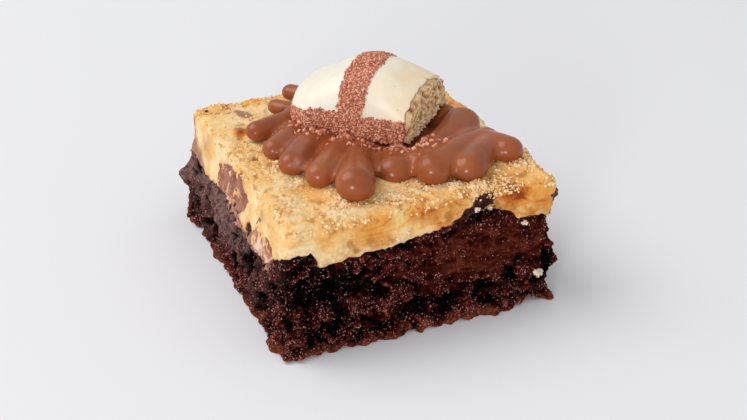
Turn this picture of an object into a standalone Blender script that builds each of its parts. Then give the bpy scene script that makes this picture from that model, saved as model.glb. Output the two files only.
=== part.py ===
"""A brookie: one cut traybake slice, cookie baked on a brownie, topped with melted milk chocolate
and half of a domed wafer biscuit. Metres, +Z up, origin under the middle of the slice.

The brownie stands on z = 0 with its darkest cut face towards -Y. The cookie layer follows its wavy
seam, holds three baked-in chocolate chunks, and carries the chocolate and the biscuit.
"""

import math

import bmesh
import bpy
import numpy as np
from mathutils import Matrix, Vector, noise
from mathutils.bvhtree import BVHTree


def mm(*values):
    """Millimetres as metres: one number, or a tuple of them."""
    metres = tuple(value * 0.001 for value in values)
    return metres if len(metres) > 1 else metres[0]


GAP = mm(0.3)

# The slice: where its four cut sides stand at three heights, and how the cut is rounded.
SIDE_LEVELS = mm(0, 22, 32.3)
LEFT_SIDE = mm(-36.5, -34.4, -32.8)
RIGHT_SIDE = mm(36.4, 35.8, 36.4)
FRONT_SIDE = mm(-42.3, -39.9, -38.4)
BACK_SIDE = mm(42.0, 39.8, 38.2)
TOP_HEIGHT = mm(32.3)
TOP_SWELL = mm(0.5)
EDGE_ROUND = mm(2.4)
FOOT_ROUND = mm(0.9)

# The seam between brownie and cookie, seen along each side: places, then heights there.
SEAM_LEVEL = mm(22.5)
SEAM_REACH = mm(12)
FRONT_SEAM = (
    mm(-36, -31, -27, -19, -5, 8, 14.5, 18.5, 22, 25.5, 36),
    mm(26.2, 26.0, 22.3, 23.4, 24.4, 26.4, 28.4, 29.8, 28.2, 24.4, 23.8),
)
LEFT_SEAM = (
    mm(-42, -36, -20, -12, 0, 8, 18, 27, 34, 42),
    mm(26.2, 23.6, 18.7, 18.9, 21.6, 21.8, 19.4, 19.6, 23.6, 24.2),
)
BACK_SEAM = mm(-36, -20, -2, 16, 36), mm(24.2, 21.8, 24.4, 21.6, 24.0)
RIGHT_SEAM = mm(-42, -24, -4, 18, 42), mm(23.8, 21.4, 24.0, 22.0, 24.0)

# The grid that each layer is modelled on: cells across, along and up.
BROWNIE_CELLS = (25, 29, 8)
COOKIE_CELLS = (25, 29, 5)

# The torn crumb of the cut sides: height and spread of its large and small unevenness.
BROWNIE_CRUMB = (mm(1.7), mm(1.3))
COOKIE_CRUMB = (mm(0.6), mm(0.35))
CRUMB_SPREAD = (mm(7.5), mm(2.8))
CRUMB_BLEND = mm(4)

# Lumps (positive) and hollows (negative) that stand out: place, spread and rise.
LUMPS = (
    (mm(-36, 39.5, 12), mm(3.2), mm(2.6)),
    (mm(-35, 40.5, 17.5), mm(2.6), mm(1.2)),
    (mm(36.5, -38.5, 11.4), mm(4.2), mm(1.4)),
    (mm(36.5, -41, 1.8), mm(2.6), mm(0.4)),
    (mm(36.4, 12, 13), mm(4.5), mm(1.6)),
    (mm(36.4, 33, 7), mm(4.0), mm(1.5)),
    (mm(35.5, -39.5, 20.6), mm(2.2), mm(-1.3)),
    (mm(36, -40, 6), mm(2.2), mm(-1.4)),
    (mm(-28, -41, 17), mm(3.4), mm(-1.8)),
    (mm(-14, -41, 13), mm(3.0), mm(-1.7)),
    (mm(2, -41, 5), mm(3.2), mm(-1.6)),
    (mm(16, -41, 7), mm(3.0), mm(-1.7)),
    (mm(27, -40, 10), mm(2.8), mm(-1.5)),
    (mm(-36, 20, 10), mm(3.0), mm(-1.4)),
    (mm(-36, -12, 12), mm(3.0), mm(-1.5)),
    (mm(-35, -31, 14), mm(3.0), mm(-1.6)),
)

# The baked top: a shallow crack, and raised crumb at the front edge. Places, spread and rise.
TOP_MARKS = (
    (mm(-27, 35, 32), mm(3.0), mm(-0.9)),
    (mm(-20, 34, 32), mm(2.6), mm(-0.9)),
    (mm(-13, 33.5, 32), mm(2.6), mm(-0.7)),
    (mm(-27, 17.5, 32), mm(2.2), mm(0.7)),
    (mm(-14, -28, 32), mm(2.4), mm(0.6)),
    (mm(10, -35, 32), mm(2.6), mm(0.8)),
    (mm(18, -33, 32), mm(2.4), mm(0.7)),
    (mm(30, 24, 32), mm(4.0), mm(0.7)),
    (mm(14, 33, 32), mm(4.0), mm(-0.5)),
)

# The two chocolate chunks cut through on the left side: the outline's y, its z, then the depth.
LEFT_CHUNKS = {
    "chocolate_chunk_large": (
        mm(11.7, 2.6, -3.8, -12, -6.2, 0.4, 7.8, 13.2),
        mm(28, 31, 30.8, 27.2, 21.2, 20.2, 20.6, 23),
        mm(7),
    ),
    "chocolate_chunk_small": (
        mm(-20.3, -24.8, -31.6, -26.4, -18.8, -14),
        mm(28.6, 27.4, 22, 18, 17.4, 19.6),
        mm(6),
    ),
}
CHUNK_PROUD = mm(0.5)
CHUNK_RINGS = (0.0, 1.0), (0.55, 0.92), (1.0, 0.62)
CORNER_CHUNK = mm(35.2, -37.0, 28.6)
CORNER_CHUNK_SIZE = mm(2.7, 2.8, 3.2)

# The chocolate: a pool under the biscuit, and piped tongues that run out of it. A tongue is its
# radii from root to tip, then the x, the y and the z of the points it runs through.
POOL_MOUNDS = (
    (mm(5, 2, 32.6), mm(18, 18, 2.2)),
    (mm(-11, 3, 32.8), mm(10, 12, 2.8)),
    (mm(9, 15, 34), mm(14, 12, 6.4)),
    (mm(20.5, -16, 33), mm(10.5, 8.5, 4.8)),
    (mm(-4, -11, 32.8), mm(8, 8, 2.2)),
)
TONGUE_FLATNESS = 0.88
TONGUES = (
    (mm(2.6, 2.5, 2.4), mm(-6, -12.2, -13.6), mm(16, 21.4, 23.9), mm(34.4, 34.8, 34.6)),
    (mm(3.0, 3.1, 3.1), mm(-6, -13.5, -18.7, -23.3), mm(15, 14.8, 12.6, 11), mm(34, 34.4, 34.7, 34.8)),
    (mm(3.2, 3.3, 3.2), mm(-4, -13.3, -18.9, -22.6), mm(10, 8.4, 3.4, -0.4), mm(33.8, 34.2, 34.5, 34.7)),
    (mm(3.5, 3.7, 3.7), mm(-4, -13, -17.7, -21.2), mm(4, 0.7, -4.3, -9.7), mm(33.6, 34, 34.4, 34.8)),
    (mm(3.4, 3.8, 3.9), mm(-2, -9.9, -14, -16.9), mm(-2, -8.8, -14, -17.4), mm(33.4, 33.9, 34.2, 34.4)),
    (
        mm(2.8, 2.9, 3.5, 4.4, 5.0),
        mm(2, -3.7, -7.1, -9.3, -11.9),
        mm(-2, -10.2, -16.3, -21.5, -27.6),
        mm(33.2, 33.7, 34.3, 35.1, 35.8),
    ),
    (mm(1.4, 2.9, 4.6, 4.7), mm(7, 5, 2.8, 1.2), mm(-7, -13, -18.4, -21.2), mm(32.6, 32.8, 33.2, 33.4)),
    (
        mm(5.0, 4.8, 4.3, 3.8),
        mm(27.2, 20.5, 12.2, 7.2),
        mm(-5.4, -12, -18, -21.3),
        mm(34.6, 34.5, 34.4, 34.4),
    ),
    (
        mm(3.5, 4.0, 4.5, 4.7),
        mm(29, 21.6, 15.2, 8.8),
        mm(-15.5, -18.9, -22.9, -27.2),
        mm(34.4, 35, 35.4, 35.4),
    ),
    (mm(3.5, 4.0, 4.3), mm(29.2, 24.5, 17.2), mm(-19, -22.8, -29.5), mm(34.6, 35, 35)),
    (mm(3.4, 3.7, 4.0), mm(28, 29.5, 30.6), mm(-17.6, -21.2, -24.4), mm(34.8, 35, 35)),
    (mm(2.8, 3.2, 3.3), mm(14, 23, 25.6), mm(5, 5, 1), mm(34.4, 34.8, 34.8)),
    (mm(3.0, 2.9, 2.8), mm(14, 22.5, 25), mm(9, 12.5, 15.5), mm(35.4, 35.2, 34.8)),
    (mm(3.0, 3.0, 3.0), mm(12, 21, 24), mm(16, 21, 25.5), mm(35.6, 35.3, 34.8)),
    (mm(3.0, 2.9, 2.9), mm(8, 14, 15.5), mm(18, 28, 31), mm(35.6, 35.2, 34.8)),
    (mm(2.8, 2.8, 2.8), mm(4, 3, 4), mm(18, 28, 31.5), mm(35.6, 35.2, 34.8)),
    (mm(2.6, 2.6, 2.6), mm(0, -5, -7), mm(18, 27, 30.5), mm(35.4, 35.4, 35)),
)
BALL_SPACING = mm(1.1)
CHOCOLATE_VOXEL = mm(0.75)
CHOCOLATE_SMOOTHING = 8
CHOCOLATE_KEPT = 0.075
CHOCOLATE_CLEARANCE = mm(0.45)
BISCUIT_MARGIN = mm(2.2)

# The biscuit, in its own frame: length along X, width along Y, base on Z = 0. Its left end keeps the
# baked round corners; its right end is broken off at a slant.
BISCUIT_PLACE = mm(5.7, 5.8, 37.1)
BISCUIT_ALONG = (0.715, -0.699, -0.021)
BISCUIT_ACROSS = (0.693, 0.705, 0.152)
BISCUIT_WIDTH = mm(24.0)
BISCUIT_ENDS = mm(-19.2, 13.8)
BREAK_SLANT = mm(2.8)
BREAK_REACH = mm(9)
CORNER_ROUND = mm(7.4)
CROWN = (
    mm(-19.2, -16.5, -13, -9, -5, -1, 2.5, 6, 10, 14, 17.5),
    mm(5.0, 7.2, 9.2, 11.4, 13.6, 15.2, 15.7, 15.1, 13.5, 11.3, 9.0),
)
CROWN_SHAPE = 8 / 3, 0.4
COAT_THICKNESS = mm(1.3)
COAT_CELLS = (20, 17)
COAT_TURN = 0.45
COAT_SPREAD = 0.75
COAT_RAGGED = mm(0.8), mm(3)
COAT_LIFT_HEIGHT = mm(28)
PLATE_THICKNESS = mm(1.4)
PLATE_OVERHANG = mm(1.2)
PLATE_CELLS = (8, 6, 1)
CREAM_OVERHANG = mm(0.7)
CREAM_CELLS = (13, 9, 4)
CORE_INSET = COAT_THICKNESS + mm(0.45)
CORE_HEADROOM = mm(0.25)
CORE_LEAST = mm(0.9)
CORE_TORN = mm(0.7), mm(2.4)

# Cocoa crumb on the coat: a rim all round and a band over the middle, raised and pebbly.
RIM_HEIGHT = mm(-19, -9, 14), mm(4.6, 6.3, 6.6)
BAND_LEFT = mm(-4.1)
BAND_RIGHT = mm(-12, -6, 0, 12), mm(3.1, 3.9, 4.6, 4.8)
CRUMB_RISE = mm(0.5)
CRUMB_PEBBLE = mm(0.7)
CRUMB_GRAIN = mm(1.5)

MATERIALS = {
    "brownie_crumb": ((0.055, 0.022, 0.014), 0.62),
    "cookie_crumb": ((0.72, 0.46, 0.2), 0.7),
    "milk_chocolate": ((0.2, 0.072, 0.035), 0.28),
    "chunk_chocolate": ((0.26, 0.12, 0.08), 0.45),
    "white_coat": ((0.9, 0.84, 0.68), 0.35),
    "biscuit_cream": ((0.6, 0.44, 0.25), 0.6),
    "wafer_plate": ((0.36, 0.23, 0.11), 0.75),
}


def new_collection(name):
    collection = bpy.data.collections.new(name)
    bpy.context.scene.collection.children.link(collection)
    return collection


def new_material(name):
    colour, roughness = MATERIALS[name]
    material = bpy.data.materials.new(name)
    material.use_nodes = True
    shader = material.node_tree.nodes["Principled BSDF"]
    shader.inputs["Base Color"].default_value = (*colour, 1.0)
    shader.inputs["Roughness"].default_value = roughness
    return material


def new_object(name, bm, collection, material=None, smooth=False):
    """Turns a bmesh into an object of the collection."""
    mesh = bpy.data.meshes.new(name)
    bm.to_mesh(mesh)
    bm.free()
    if material:
        mesh.materials.append(material)
    if smooth:
        mesh.shade_smooth()
    made = bpy.data.objects.new(name, mesh)
    collection.objects.link(made)
    return made


def gridded_cube(cells):
    """A cube from -1 to 1 on each axis, cut into cells across, along and up."""
    bm = bmesh.new()
    bmesh.ops.create_cube(bm, size=2.0)
    for axis, count in enumerate(cells):
        normal = Vector((0, 0, 0))
        normal[axis] = 1
        for step in range(1, count):
            everything = bm.verts[:] + bm.edges[:] + bm.faces[:]
            place = normal * (2 * step / count - 1)
            bmesh.ops.bisect_plane(bm, geom=everything, plane_co=place, plane_no=normal)
    return bm


def between(low, high, share):
    return low + (high - low) * share


def side_box(z):
    """The left, right, front and back sides at height z."""
    sides = (LEFT_SIDE, RIGHT_SIDE, FRONT_SIDE, BACK_SIDE)
    return [float(np.interp(z, SIDE_LEVELS, side)) for side in sides]


def seam_height(s, t, x, y):
    """The seam's height: it follows each cut side's own line and is level deep inside the slice."""
    left, right, front, back = side_box(SEAM_LEVEL)
    inset_x = (1 - abs(s)) * (right - left) / 2
    inset_y = (1 - abs(t)) * (back - front) / 2
    near_x = max(0.0, 1 - inset_x / SEAM_REACH) ** 2
    near_y = max(0.0, 1 - inset_y / SEAM_REACH) ** 2
    rise_x = float(np.interp(y, *(LEFT_SEAM if s < 0 else RIGHT_SEAM))) - SEAM_LEVEL
    rise_y = float(np.interp(x, *(FRONT_SEAM if t < 0 else BACK_SEAM))) - SEAM_LEVEL
    shared = near_x * near_y * (rise_x + rise_y) / 2
    return SEAM_LEVEL + near_x * rise_x + near_y * rise_y - shared


def crumb(point, heights):
    """Large and small unevenness of torn crumb at a point."""
    large, small = heights
    wide, narrow = CRUMB_SPREAD
    return large * noise.noise(point / wide) + small * noise.noise(point / narrow + Vector((5, 3, 9)))


def marks_at(point, marks):
    """The rise of all the lumps and hollows at a point."""
    total = 0.0
    for place, spread, rise in marks:
        total += rise * math.exp(-((point - Vector(place)).length / spread) ** 2)
    return total


def rounded(point, low, high, radius):
    """The point moved onto the box's rounded edge, and the direction that faces out there."""
    inner = Vector([min(max(point[i], low[i] + radius), high[i] - radius) for i in range(3)])
    out = point - inner
    if out.length < 1e-9:
        return point, Vector((0, 0, 0))
    return inner + out * (max(abs(part) for part in out) / out.length), out.normalized()


def slice_point(s, t, share, is_cookie):
    """Where a grid point of one layer goes: s and t run from -1 to 1, share from its floor to its top."""
    left, right, front, back = side_box(SEAM_LEVEL)
    x = between(left, right, (s + 1) / 2)
    y = between(front, back, (t + 1) / 2)
    seam = seam_height(s, t, x, y)
    swell = TOP_SWELL * (1 - s * s) * (1 - t * t)
    z = between(seam, TOP_HEIGHT + swell, share) if is_cookie else between(0.0, seam, share)
    left, right, front, back = side_box(z)
    point = Vector((between(left, right, (s + 1) / 2), between(front, back, (t + 1) / 2), z))
    far = 1.0
    if is_cookie:
        low, high, radius = (left, front, -far), (right, back, TOP_HEIGHT + swell), EDGE_ROUND
    else:
        low, high, radius = (left, front, 0.0), (right, back, far), FOOT_ROUND
    point, out = rounded(point, low, high, radius)
    on_floor = not is_cookie and share == 0
    if on_floor and abs(s) < 1 and abs(t) < 1:
        return point
    heights = COOKIE_CRUMB
    if not is_cookie:
        blend = min(1.0, max(0.0, (seam - z) / CRUMB_BLEND))
        heights = [between(a, b, blend) for a, b in zip(COOKIE_CRUMB, BROWNIE_CRUMB)]
    rise = crumb(point, heights) + marks_at(point, LUMPS)
    if is_cookie:
        rise += marks_at(point, TOP_MARKS) * max(0.0, out.z)
    point = point + out * rise
    point.z = max(point.z, 0.0)
    return point


def make_layer(name, cells, is_cookie, collection, material):
    """One baked layer, cut square, with its flat inner faces merged."""
    bm = gridded_cube(cells)
    for vert in bm.verts:
        s, t, w = vert.co
        vert.co = slice_point(s, t, (w + 1) / 2, is_cookie)
        if is_cookie and w == -1:
            vert.co.z += GAP
    level = SEAM_LEVEL + GAP if is_cookie else SEAM_LEVEL
    for height in (level, 0.0):
        flat = [face for face in bm.faces if all(abs(v.co.z - height) < 1e-7 for v in face.verts)]
        if flat:
            bmesh.ops.dissolve_faces(bm, faces=flat, use_verts=True)
    bmesh.ops.triangulate(bm, faces=bm.faces[:], quad_method="SHORT_EDGE")
    return new_object(name, bm, collection, material)


def side_chunk(ys, zs, depth, grow):
    """A chocolate chunk in the left side: a loft from its outline to a smaller inner end."""
    bm = bmesh.new()
    outline = [Vector((0, y, z)) for y, z in zip(ys, zs)]
    middle = sum(outline, Vector()) / len(outline)
    rings = []
    for share, taper in CHUNK_RINGS:
        ring = []
        for corner in outline:
            spoke = corner - middle
            place = middle + spoke * (taper * (1 + grow / spoke.length))
            face_x = float(np.interp(place.z, SIDE_LEVELS, LEFT_SIDE)) - CHUNK_PROUD - 4 * grow
            place.x = LEFT_SIDE[1] + share * (depth + grow) if share else face_x
            ring.append(bm.verts.new(place))
        rings.append(ring)
    outer_face = bm.faces.new(rings[0])
    bm.faces.new(rings[-1])
    count = len(outline)
    for near, far in zip(rings, rings[1:]):
        for i in range(count):
            j = (i + 1) % count
            bm.faces.new((near[i], near[j], far[j], far[i]))
    bmesh.ops.poke(bm, faces=[outer_face])
    bmesh.ops.recalc_face_normals(bm, faces=bm.faces[:])
    return bm


def corner_chunk(grow):
    """The dark chunk that shows at the front right corner, a rough ball."""
    bm = bmesh.new()
    size = [part + grow for part in CORNER_CHUNK_SIZE]
    place = Matrix.Translation(CORNER_CHUNK) @ Matrix.Diagonal((*size, 1))
    bmesh.ops.create_icosphere(bm, subdivisions=2, radius=1.0, matrix=place)
    return bm


def cut(target, cutter):
    modifier = target.modifiers.new(f"pocket of {cutter.name}", "BOOLEAN")
    modifier.operation = "DIFFERENCE"
    modifier.solver = "EXACT"
    modifier.object = cutter


def make_chunks(parts, cutters, material, layers):
    """The baked-in chunks, and a pocket for each in the layers that hold it."""
    for name, (ys, zs, depth) in LEFT_CHUNKS.items():
        new_object(name, side_chunk(ys, zs, depth, 0.0), parts, material)
        cutter = new_object(f"cutter_{name}", side_chunk(ys, zs, depth, GAP), cutters)
        for layer in layers:
            cut(layer, cutter)
    new_object("chocolate_chunk_corner", corner_chunk(0.0), parts, material)
    cutter = new_object("cutter_chocolate_chunk_corner", corner_chunk(GAP), cutters)
    cut(layers[1], cutter)
    for helper in cutters.objects:
        helper.hide_render = True
        helper.display_type = "WIRE"


def biscuit_frame():
    """The biscuit's own axes and place, as a matrix."""
    along = Vector(BISCUIT_ALONG).normalized()
    up = along.cross(Vector(BISCUIT_ACROSS)).normalized()
    axes = Matrix((along, up.cross(along), up)).transposed()
    return Matrix.Translation(BISCUIT_PLACE) @ axes.to_4x4()


def tongue_balls(bm, radii, path):
    """A chain of overlapping balls along the path, its radius changing from end to end."""
    points = np.array(path).T
    steps = np.linalg.norm(np.diff(points, axis=0), axis=1)
    reached = np.concatenate([[0], np.cumsum(steps)])
    count = int(reached[-1] / BALL_SPACING) + 2
    for distance in np.linspace(0, reached[-1], count):
        place = [np.interp(distance, reached, points[:, axis]) for axis in range(3)]
        radius = np.interp(distance / reached[-1], np.linspace(0, 1, len(radii)), radii)
        ball = Matrix.Translation(place) @ Matrix.Diagonal((1, 1, TONGUE_FLATNESS, 1))
        bmesh.ops.create_icosphere(bm, subdivisions=2, radius=float(radius), matrix=ball)


def make_chocolate(collection, material, cookie):
    """The melted chocolate: balls and mounds fused, then laid on the cookie and under the biscuit."""
    bm = bmesh.new()
    for place, size in POOL_MOUNDS:
        mound = Matrix.Translation(place) @ Matrix.Diagonal((*size, 1))
        bmesh.ops.create_icosphere(bm, subdivisions=4, radius=1.0, matrix=mound)
    for radii, *path in TONGUES:
        tongue_balls(bm, radii, path)
    chocolate = new_object("chocolate_drizzle", bm, collection, material)
    fuse = chocolate.modifiers.new("fuse", "REMESH")
    fuse.mode = "VOXEL"
    fuse.voxel_size = CHOCOLATE_VOXEL
    flow = chocolate.modifiers.new("flow", "SMOOTH")
    flow.factor = 0.5
    flow.iterations = CHOCOLATE_SMOOTHING
    graph = bpy.context.evaluated_depsgraph_get()
    fused = bpy.data.meshes.new_from_object(chocolate.evaluated_get(graph))
    top = BVHTree.FromObject(cookie, graph)
    frame = biscuit_frame()
    to_biscuit = frame.inverted()
    lean = frame.col[2].z
    first = BISCUIT_ENDS[0] - BISCUIT_MARGIN
    last = BISCUIT_ENDS[1] + BREAK_SLANT + PLATE_OVERHANG + BISCUIT_MARGIN
    for vert in fused.vertices:
        above = Vector((vert.co.x, vert.co.y, 1.0))
        floor = top.ray_cast(above, Vector((0, 0, -1)))[0].z + CHOCOLATE_CLEARANCE
        vert.co.z = max(vert.co.z, floor)
        local = to_biscuit @ vert.co
        beside = abs(local.y) < half_width(local.x) + BISCUIT_MARGIN
        if first < local.x < last and beside and local.z > -GAP:
            vert.co.z -= (local.z + GAP) / lean
    chocolate.modifiers.clear()
    chocolate.data = fused
    fewer = chocolate.modifiers.new("fewer", "DECIMATE")
    fewer.ratio = CHOCOLATE_KEPT
    fused.shade_smooth()


def half_width(u, inset=0.0):
    """Half the biscuit's width at u: full, then rounding in at the left end's corners."""
    radius = CORNER_ROUND - inset
    into = min(max(BISCUIT_ENDS[0] + CORNER_ROUND - u, 0.0), radius)
    return BISCUIT_WIDTH / 2 - inset - (radius - math.sqrt(radius**2 - into**2))


def slanted(u, v):
    """u moved by the slant of the broken end, which fades out over its reach."""
    near = min(max((u - BISCUIT_ENDS[1]) / BREAK_REACH + 1, 0.0), 1.0)
    return u + near * BREAK_SLANT * (v / BISCUIT_WIDTH + 0.5)


def crown_height(u, across, inset=0.0):
    """Height of the domed skin at u, and at a share of the half width across."""
    flat, full = CROWN_SHAPE
    return float(np.interp(u, *CROWN) - inset) * (1 - min(1.0, abs(across)) ** flat) ** full


def crumb_cover(u, v, height):
    """How far the cocoa crumb lifts the coat's surface: in the rim and in the band, else nothing."""
    in_rim = height < np.interp(u, *RIM_HEIGHT)
    in_band = BAND_LEFT < u < np.interp(v, *BAND_RIGHT)
    if not (in_rim or in_band):
        return 0.0
    grain = Vector((u, v, height)) / CRUMB_GRAIN
    return CRUMB_RISE + CRUMB_PEBBLE * (0.5 + noise.noise(grain))


def make_coat(collection, material, parent):
    """The white coat: a domed shell, closed at the left end, broken off at the right one."""
    bm = bmesh.new()
    columns, rows = COAT_CELLS
    ragged, ragged_spread = COAT_RAGGED
    bmesh.ops.create_grid(bm, x_segments=columns, y_segments=rows, size=1.0)
    for vert in bm.verts:
        row, share = vert.co.y, (vert.co.x + 1) / 2
        turn = math.pi / 2 * (1 + between(math.sin(row * math.pi / 2), row, COAT_TURN))
        across = -math.copysign(abs(math.cos(turn)) ** COAT_SPREAD, math.cos(turn))
        u = between(*BISCUIT_ENDS, share)
        v = across * half_width(u)
        height = crown_height(u, across)
        out = Vector((0, v / BISCUIT_WIDTH, height / COAT_LIFT_HEIGHT)).normalized()
        torn = ragged * noise.noise(Vector((0, v / ragged_spread, 2))) if share == 1 else 0.0
        vert.co = Vector((slanted(u, v) + torn, v, height)) + out * crumb_cover(u, v, height)
        if abs(row) == 1:
            vert.co.z = 0.0
    first = min(vert.co.x for vert in bm.verts)
    end_edges = [e for e in bm.edges if all(abs(v.co.x - first) < 1e-6 for v in e.verts)]
    bmesh.ops.contextual_create(bm, geom=end_edges)
    bmesh.ops.recalc_face_normals(bm, faces=bm.faces[:])
    if sum(face.normal.z * face.calc_area() for face in bm.faces) < 0:
        bmesh.ops.reverse_faces(bm, faces=bm.faces[:])
    coat = new_object("wafer_coating", bm, collection, material)
    coat.parent = parent
    wall = coat.modifiers.new("thickness", "SOLIDIFY")
    wall.thickness = COAT_THICKNESS
    wall.offset = -1.0
    wall.use_even_offset = True
    return coat


def make_core(name, cells, overhang, heights, collection, material, parent):
    """A solid that fills the coat's inside between two heights, torn where it sticks out."""
    bm = gridded_cube(cells)
    low, high = heights
    tear, tear_spread = CORE_TORN
    for vert in bm.verts:
        s, t, w = vert.co
        u = between(BISCUIT_ENDS[0] + CORE_INSET, BISCUIT_ENDS[1], (s + 1) / 2)
        v = t * half_width(u, CORE_INSET)
        roof = crown_height(u, t, CORE_INSET + CORE_HEADROOM)
        height = between(low, max(low + CORE_LEAST, min(high, roof)), (w + 1) / 2)
        torn = 0.0
        if s == 1:
            torn = overhang + tear * noise.noise(Vector((v, height, low)) / tear_spread)
        vert.co = (slanted(u, v) + torn, v, height)
    core = new_object(name, bm, collection, material)
    core.parent = parent
    return core


def make_biscuit(collection, materials):
    """The biscuit: coat, filling and base plate, held together by one empty."""
    frame = bpy.data.objects.new("biscuit_frame", None)
    frame.matrix_world = biscuit_frame()
    collection.objects.link(frame)
    make_coat(collection, materials["white_coat"], frame)
    plate = (GAP, GAP + PLATE_THICKNESS)
    cream = (plate[1] + GAP, max(CROWN[1]))
    cores = (
        ("wafer_plate", PLATE_CELLS, PLATE_OVERHANG, plate, "wafer_plate"),
        ("wafer_cream", CREAM_CELLS, CREAM_OVERHANG, cream, "biscuit_cream"),
    )
    for name, cells, overhang, heights, material in cores:
        make_core(name, cells, overhang, heights, collection, materials[material], frame)


def main():
    for old in list(bpy.data.objects):
        bpy.data.objects.remove(old, do_unlink=True)
    materials = {name: new_material(name) for name in MATERIALS}
    parts = new_collection("Brookie")
    cutters = new_collection("Cutters")
    brownie = make_layer("brownie", BROWNIE_CELLS, False, parts, materials["brownie_crumb"])
    cookie = make_layer("cookie_layer", COOKIE_CELLS, True, parts, materials["cookie_crumb"])
    make_chunks(parts, cutters, materials["chunk_chocolate"], (brownie, cookie))
    make_chocolate(parts, materials["milk_chocolate"], cookie)
    make_biscuit(parts, materials)


main()
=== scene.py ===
import math

import bmesh
import bpy
import numpy as np
from mathutils import Matrix, Vector, noise
from mathutils.bvhtree import BVHTree


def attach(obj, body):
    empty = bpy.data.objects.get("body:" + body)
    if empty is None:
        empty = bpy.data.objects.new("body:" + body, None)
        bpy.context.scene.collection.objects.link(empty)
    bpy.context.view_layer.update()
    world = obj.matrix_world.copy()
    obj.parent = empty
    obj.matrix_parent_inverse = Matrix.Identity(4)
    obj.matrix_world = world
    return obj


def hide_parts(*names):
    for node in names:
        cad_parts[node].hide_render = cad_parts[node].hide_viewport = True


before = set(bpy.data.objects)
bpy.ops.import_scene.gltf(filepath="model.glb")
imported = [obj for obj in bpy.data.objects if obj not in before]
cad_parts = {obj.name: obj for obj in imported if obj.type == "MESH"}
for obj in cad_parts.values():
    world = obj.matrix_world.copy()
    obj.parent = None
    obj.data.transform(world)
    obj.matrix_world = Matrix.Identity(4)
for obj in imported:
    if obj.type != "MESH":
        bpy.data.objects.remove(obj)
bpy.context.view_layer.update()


# Camera. It stands in front of the slice's left corner and looks down on it, a little to the
# right of where the darker cut side faces.
CAMERA_HEADING = math.radians(66.77)
CAMERA_PITCH = math.radians(28.99)
CAMERA_LENS = 61.78
CAMERA_AWAY = 0.3466
CAMERA_RIGHT = 0.00419
CAMERA_UP = 0.0105
CAMERA_NEAREST = 0.01

ahead = Vector(
    (
        math.cos(CAMERA_HEADING) * math.cos(CAMERA_PITCH),
        math.sin(CAMERA_HEADING) * math.cos(CAMERA_PITCH),
        -math.sin(CAMERA_PITCH),
    )
)
aside = Vector((math.sin(CAMERA_HEADING), -math.cos(CAMERA_HEADING), 0))
above = aside.cross(ahead)
lens = bpy.data.cameras.new("camera")
lens.lens = CAMERA_LENS
lens.clip_start = CAMERA_NEAREST
camera = bpy.data.objects.new("camera", lens)
bpy.context.scene.collection.objects.link(camera)
bpy.context.scene.camera = camera
camera_place = above * CAMERA_UP + aside * CAMERA_RIGHT - ahead * CAMERA_AWAY
camera_axes = Matrix((aside, above, -ahead)).transposed().to_4x4()
camera.matrix_world = Matrix.Translation(camera_place) @ camera_axes


# Brownie. The lower half of the slice is a moist, dense chocolate sponge, cut from a tray with a
# knife. Its cut sides are torn into tufts, fissures and pits, with a smoother fudgy patch and a
# dark moist knob on the front, a grey smear on the left and a thin crust round the foot. Its
# colour carries painted shade in the fissures, pits and swirl grooves and painted light on the
# tufts, and the smear's grey is partly a painted sheen of the light on the left side.
def mm(*values):
    """Millimetres as metres: one number, or an array of them."""
    metres = np.array(values) * 0.001
    return metres if len(values) > 1 else float(metres[0])


def round_marks(unit, *rows):
    """Round marks: each row has a place and a spread in millimetres, and a strength in the unit."""
    return [(mm(*row[:3]), mm(row[3]), row[4] * unit) for row in rows]


SIDE_LEVELS = mm(0, 22, 32.3)
LEFT_SIDE = mm(-36.5, -34.4, -32.8)
RIGHT_SIDE = mm(36.4, 35.8, 36.4)
FRONT_SIDE = mm(-42.3, -39.9, -38.4)
BACK_SIDE = mm(42.0, 39.8, 38.2)
TOP_HEIGHT = mm(32.3)
TOP_SWELL = mm(0.5)
EDGE_ROUND = mm(2.4)
FOOT_ROUND = mm(0.9)
SEAM_LEVEL = mm(22.5)
SEAM_REACH = mm(12)
FRONT_SEAM = (
    mm(-36, -31.5, -28.4, -26, -19, -5, 8, 14.5, 18.5, 22, 25.5, 36),
    mm(26.4, 27.6, 27.0, 22.4, 23.4, 24.4, 26.4, 28.4, 29.8, 28.2, 24.4, 23.8),
)
LEFT_SEAM = (
    mm(-42, -36, -20, -12, 0, 8, 18, 27, 34, 42),
    mm(26.2, 23.6, 18.7, 18.9, 21.6, 21.8, 19.4, 19.6, 21.0, 18.0),
)
BACK_SEAM = mm(-36, -20, -2, 16, 36), mm(18.0, 21.8, 24.4, 21.6, 24.0)
RIGHT_SEAM = mm(-42, -24, -4, 18, 42), mm(23.8, 21.4, 24.0, 22.0, 24.0)
SEAM_RAGGED = mm(0.7), mm(2.6)
SEAM_FRAYED = mm(0.45), mm(1.1)

BROWNIE_CELLS = (190, 214, 64)
INSIDE = 0.9
BROWNIE_BROAD = mm(1.7), mm(1.3)
COOKIE_BROAD = mm(0.6), mm(0.35)
BROAD_SPREAD = mm(7.5), mm(2.8)
BROAD_BLEND = mm(4)
TORN_INSET = mm(0.6)
TUFTS = mm(2.6), mm(1.0)
GRAINS = mm(1.05), mm(0.55)
PITS = mm(1.9), mm(3.0)
FISSURES = mm(2.6), mm(4.0)
VOIDS = mm(4.5), mm(4.2)
FISSURE_STRETCH = np.array((0.42, 0.42, 1.0))
SWIRLS = mm(1.5), mm(0.25)
SWIRL_STRETCH = np.array((0.3, 0.3, 1.0))
CRUST_HEIGHT = mm(2.6)
CRUST_RISE = mm(0.8)
SMEAR_FOOT = mm(6)
SMEAR_BLEND = mm(9)
SMEAR_ALONG = mm(-38, -20, 4), (0.04, 0.35, 1.0)
FLECKS_REACH = mm(7)
FLECKS_ALONG = mm(-34, -26, 2, 12), (0.4, 0.93, 0.93, 0.4)
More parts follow.
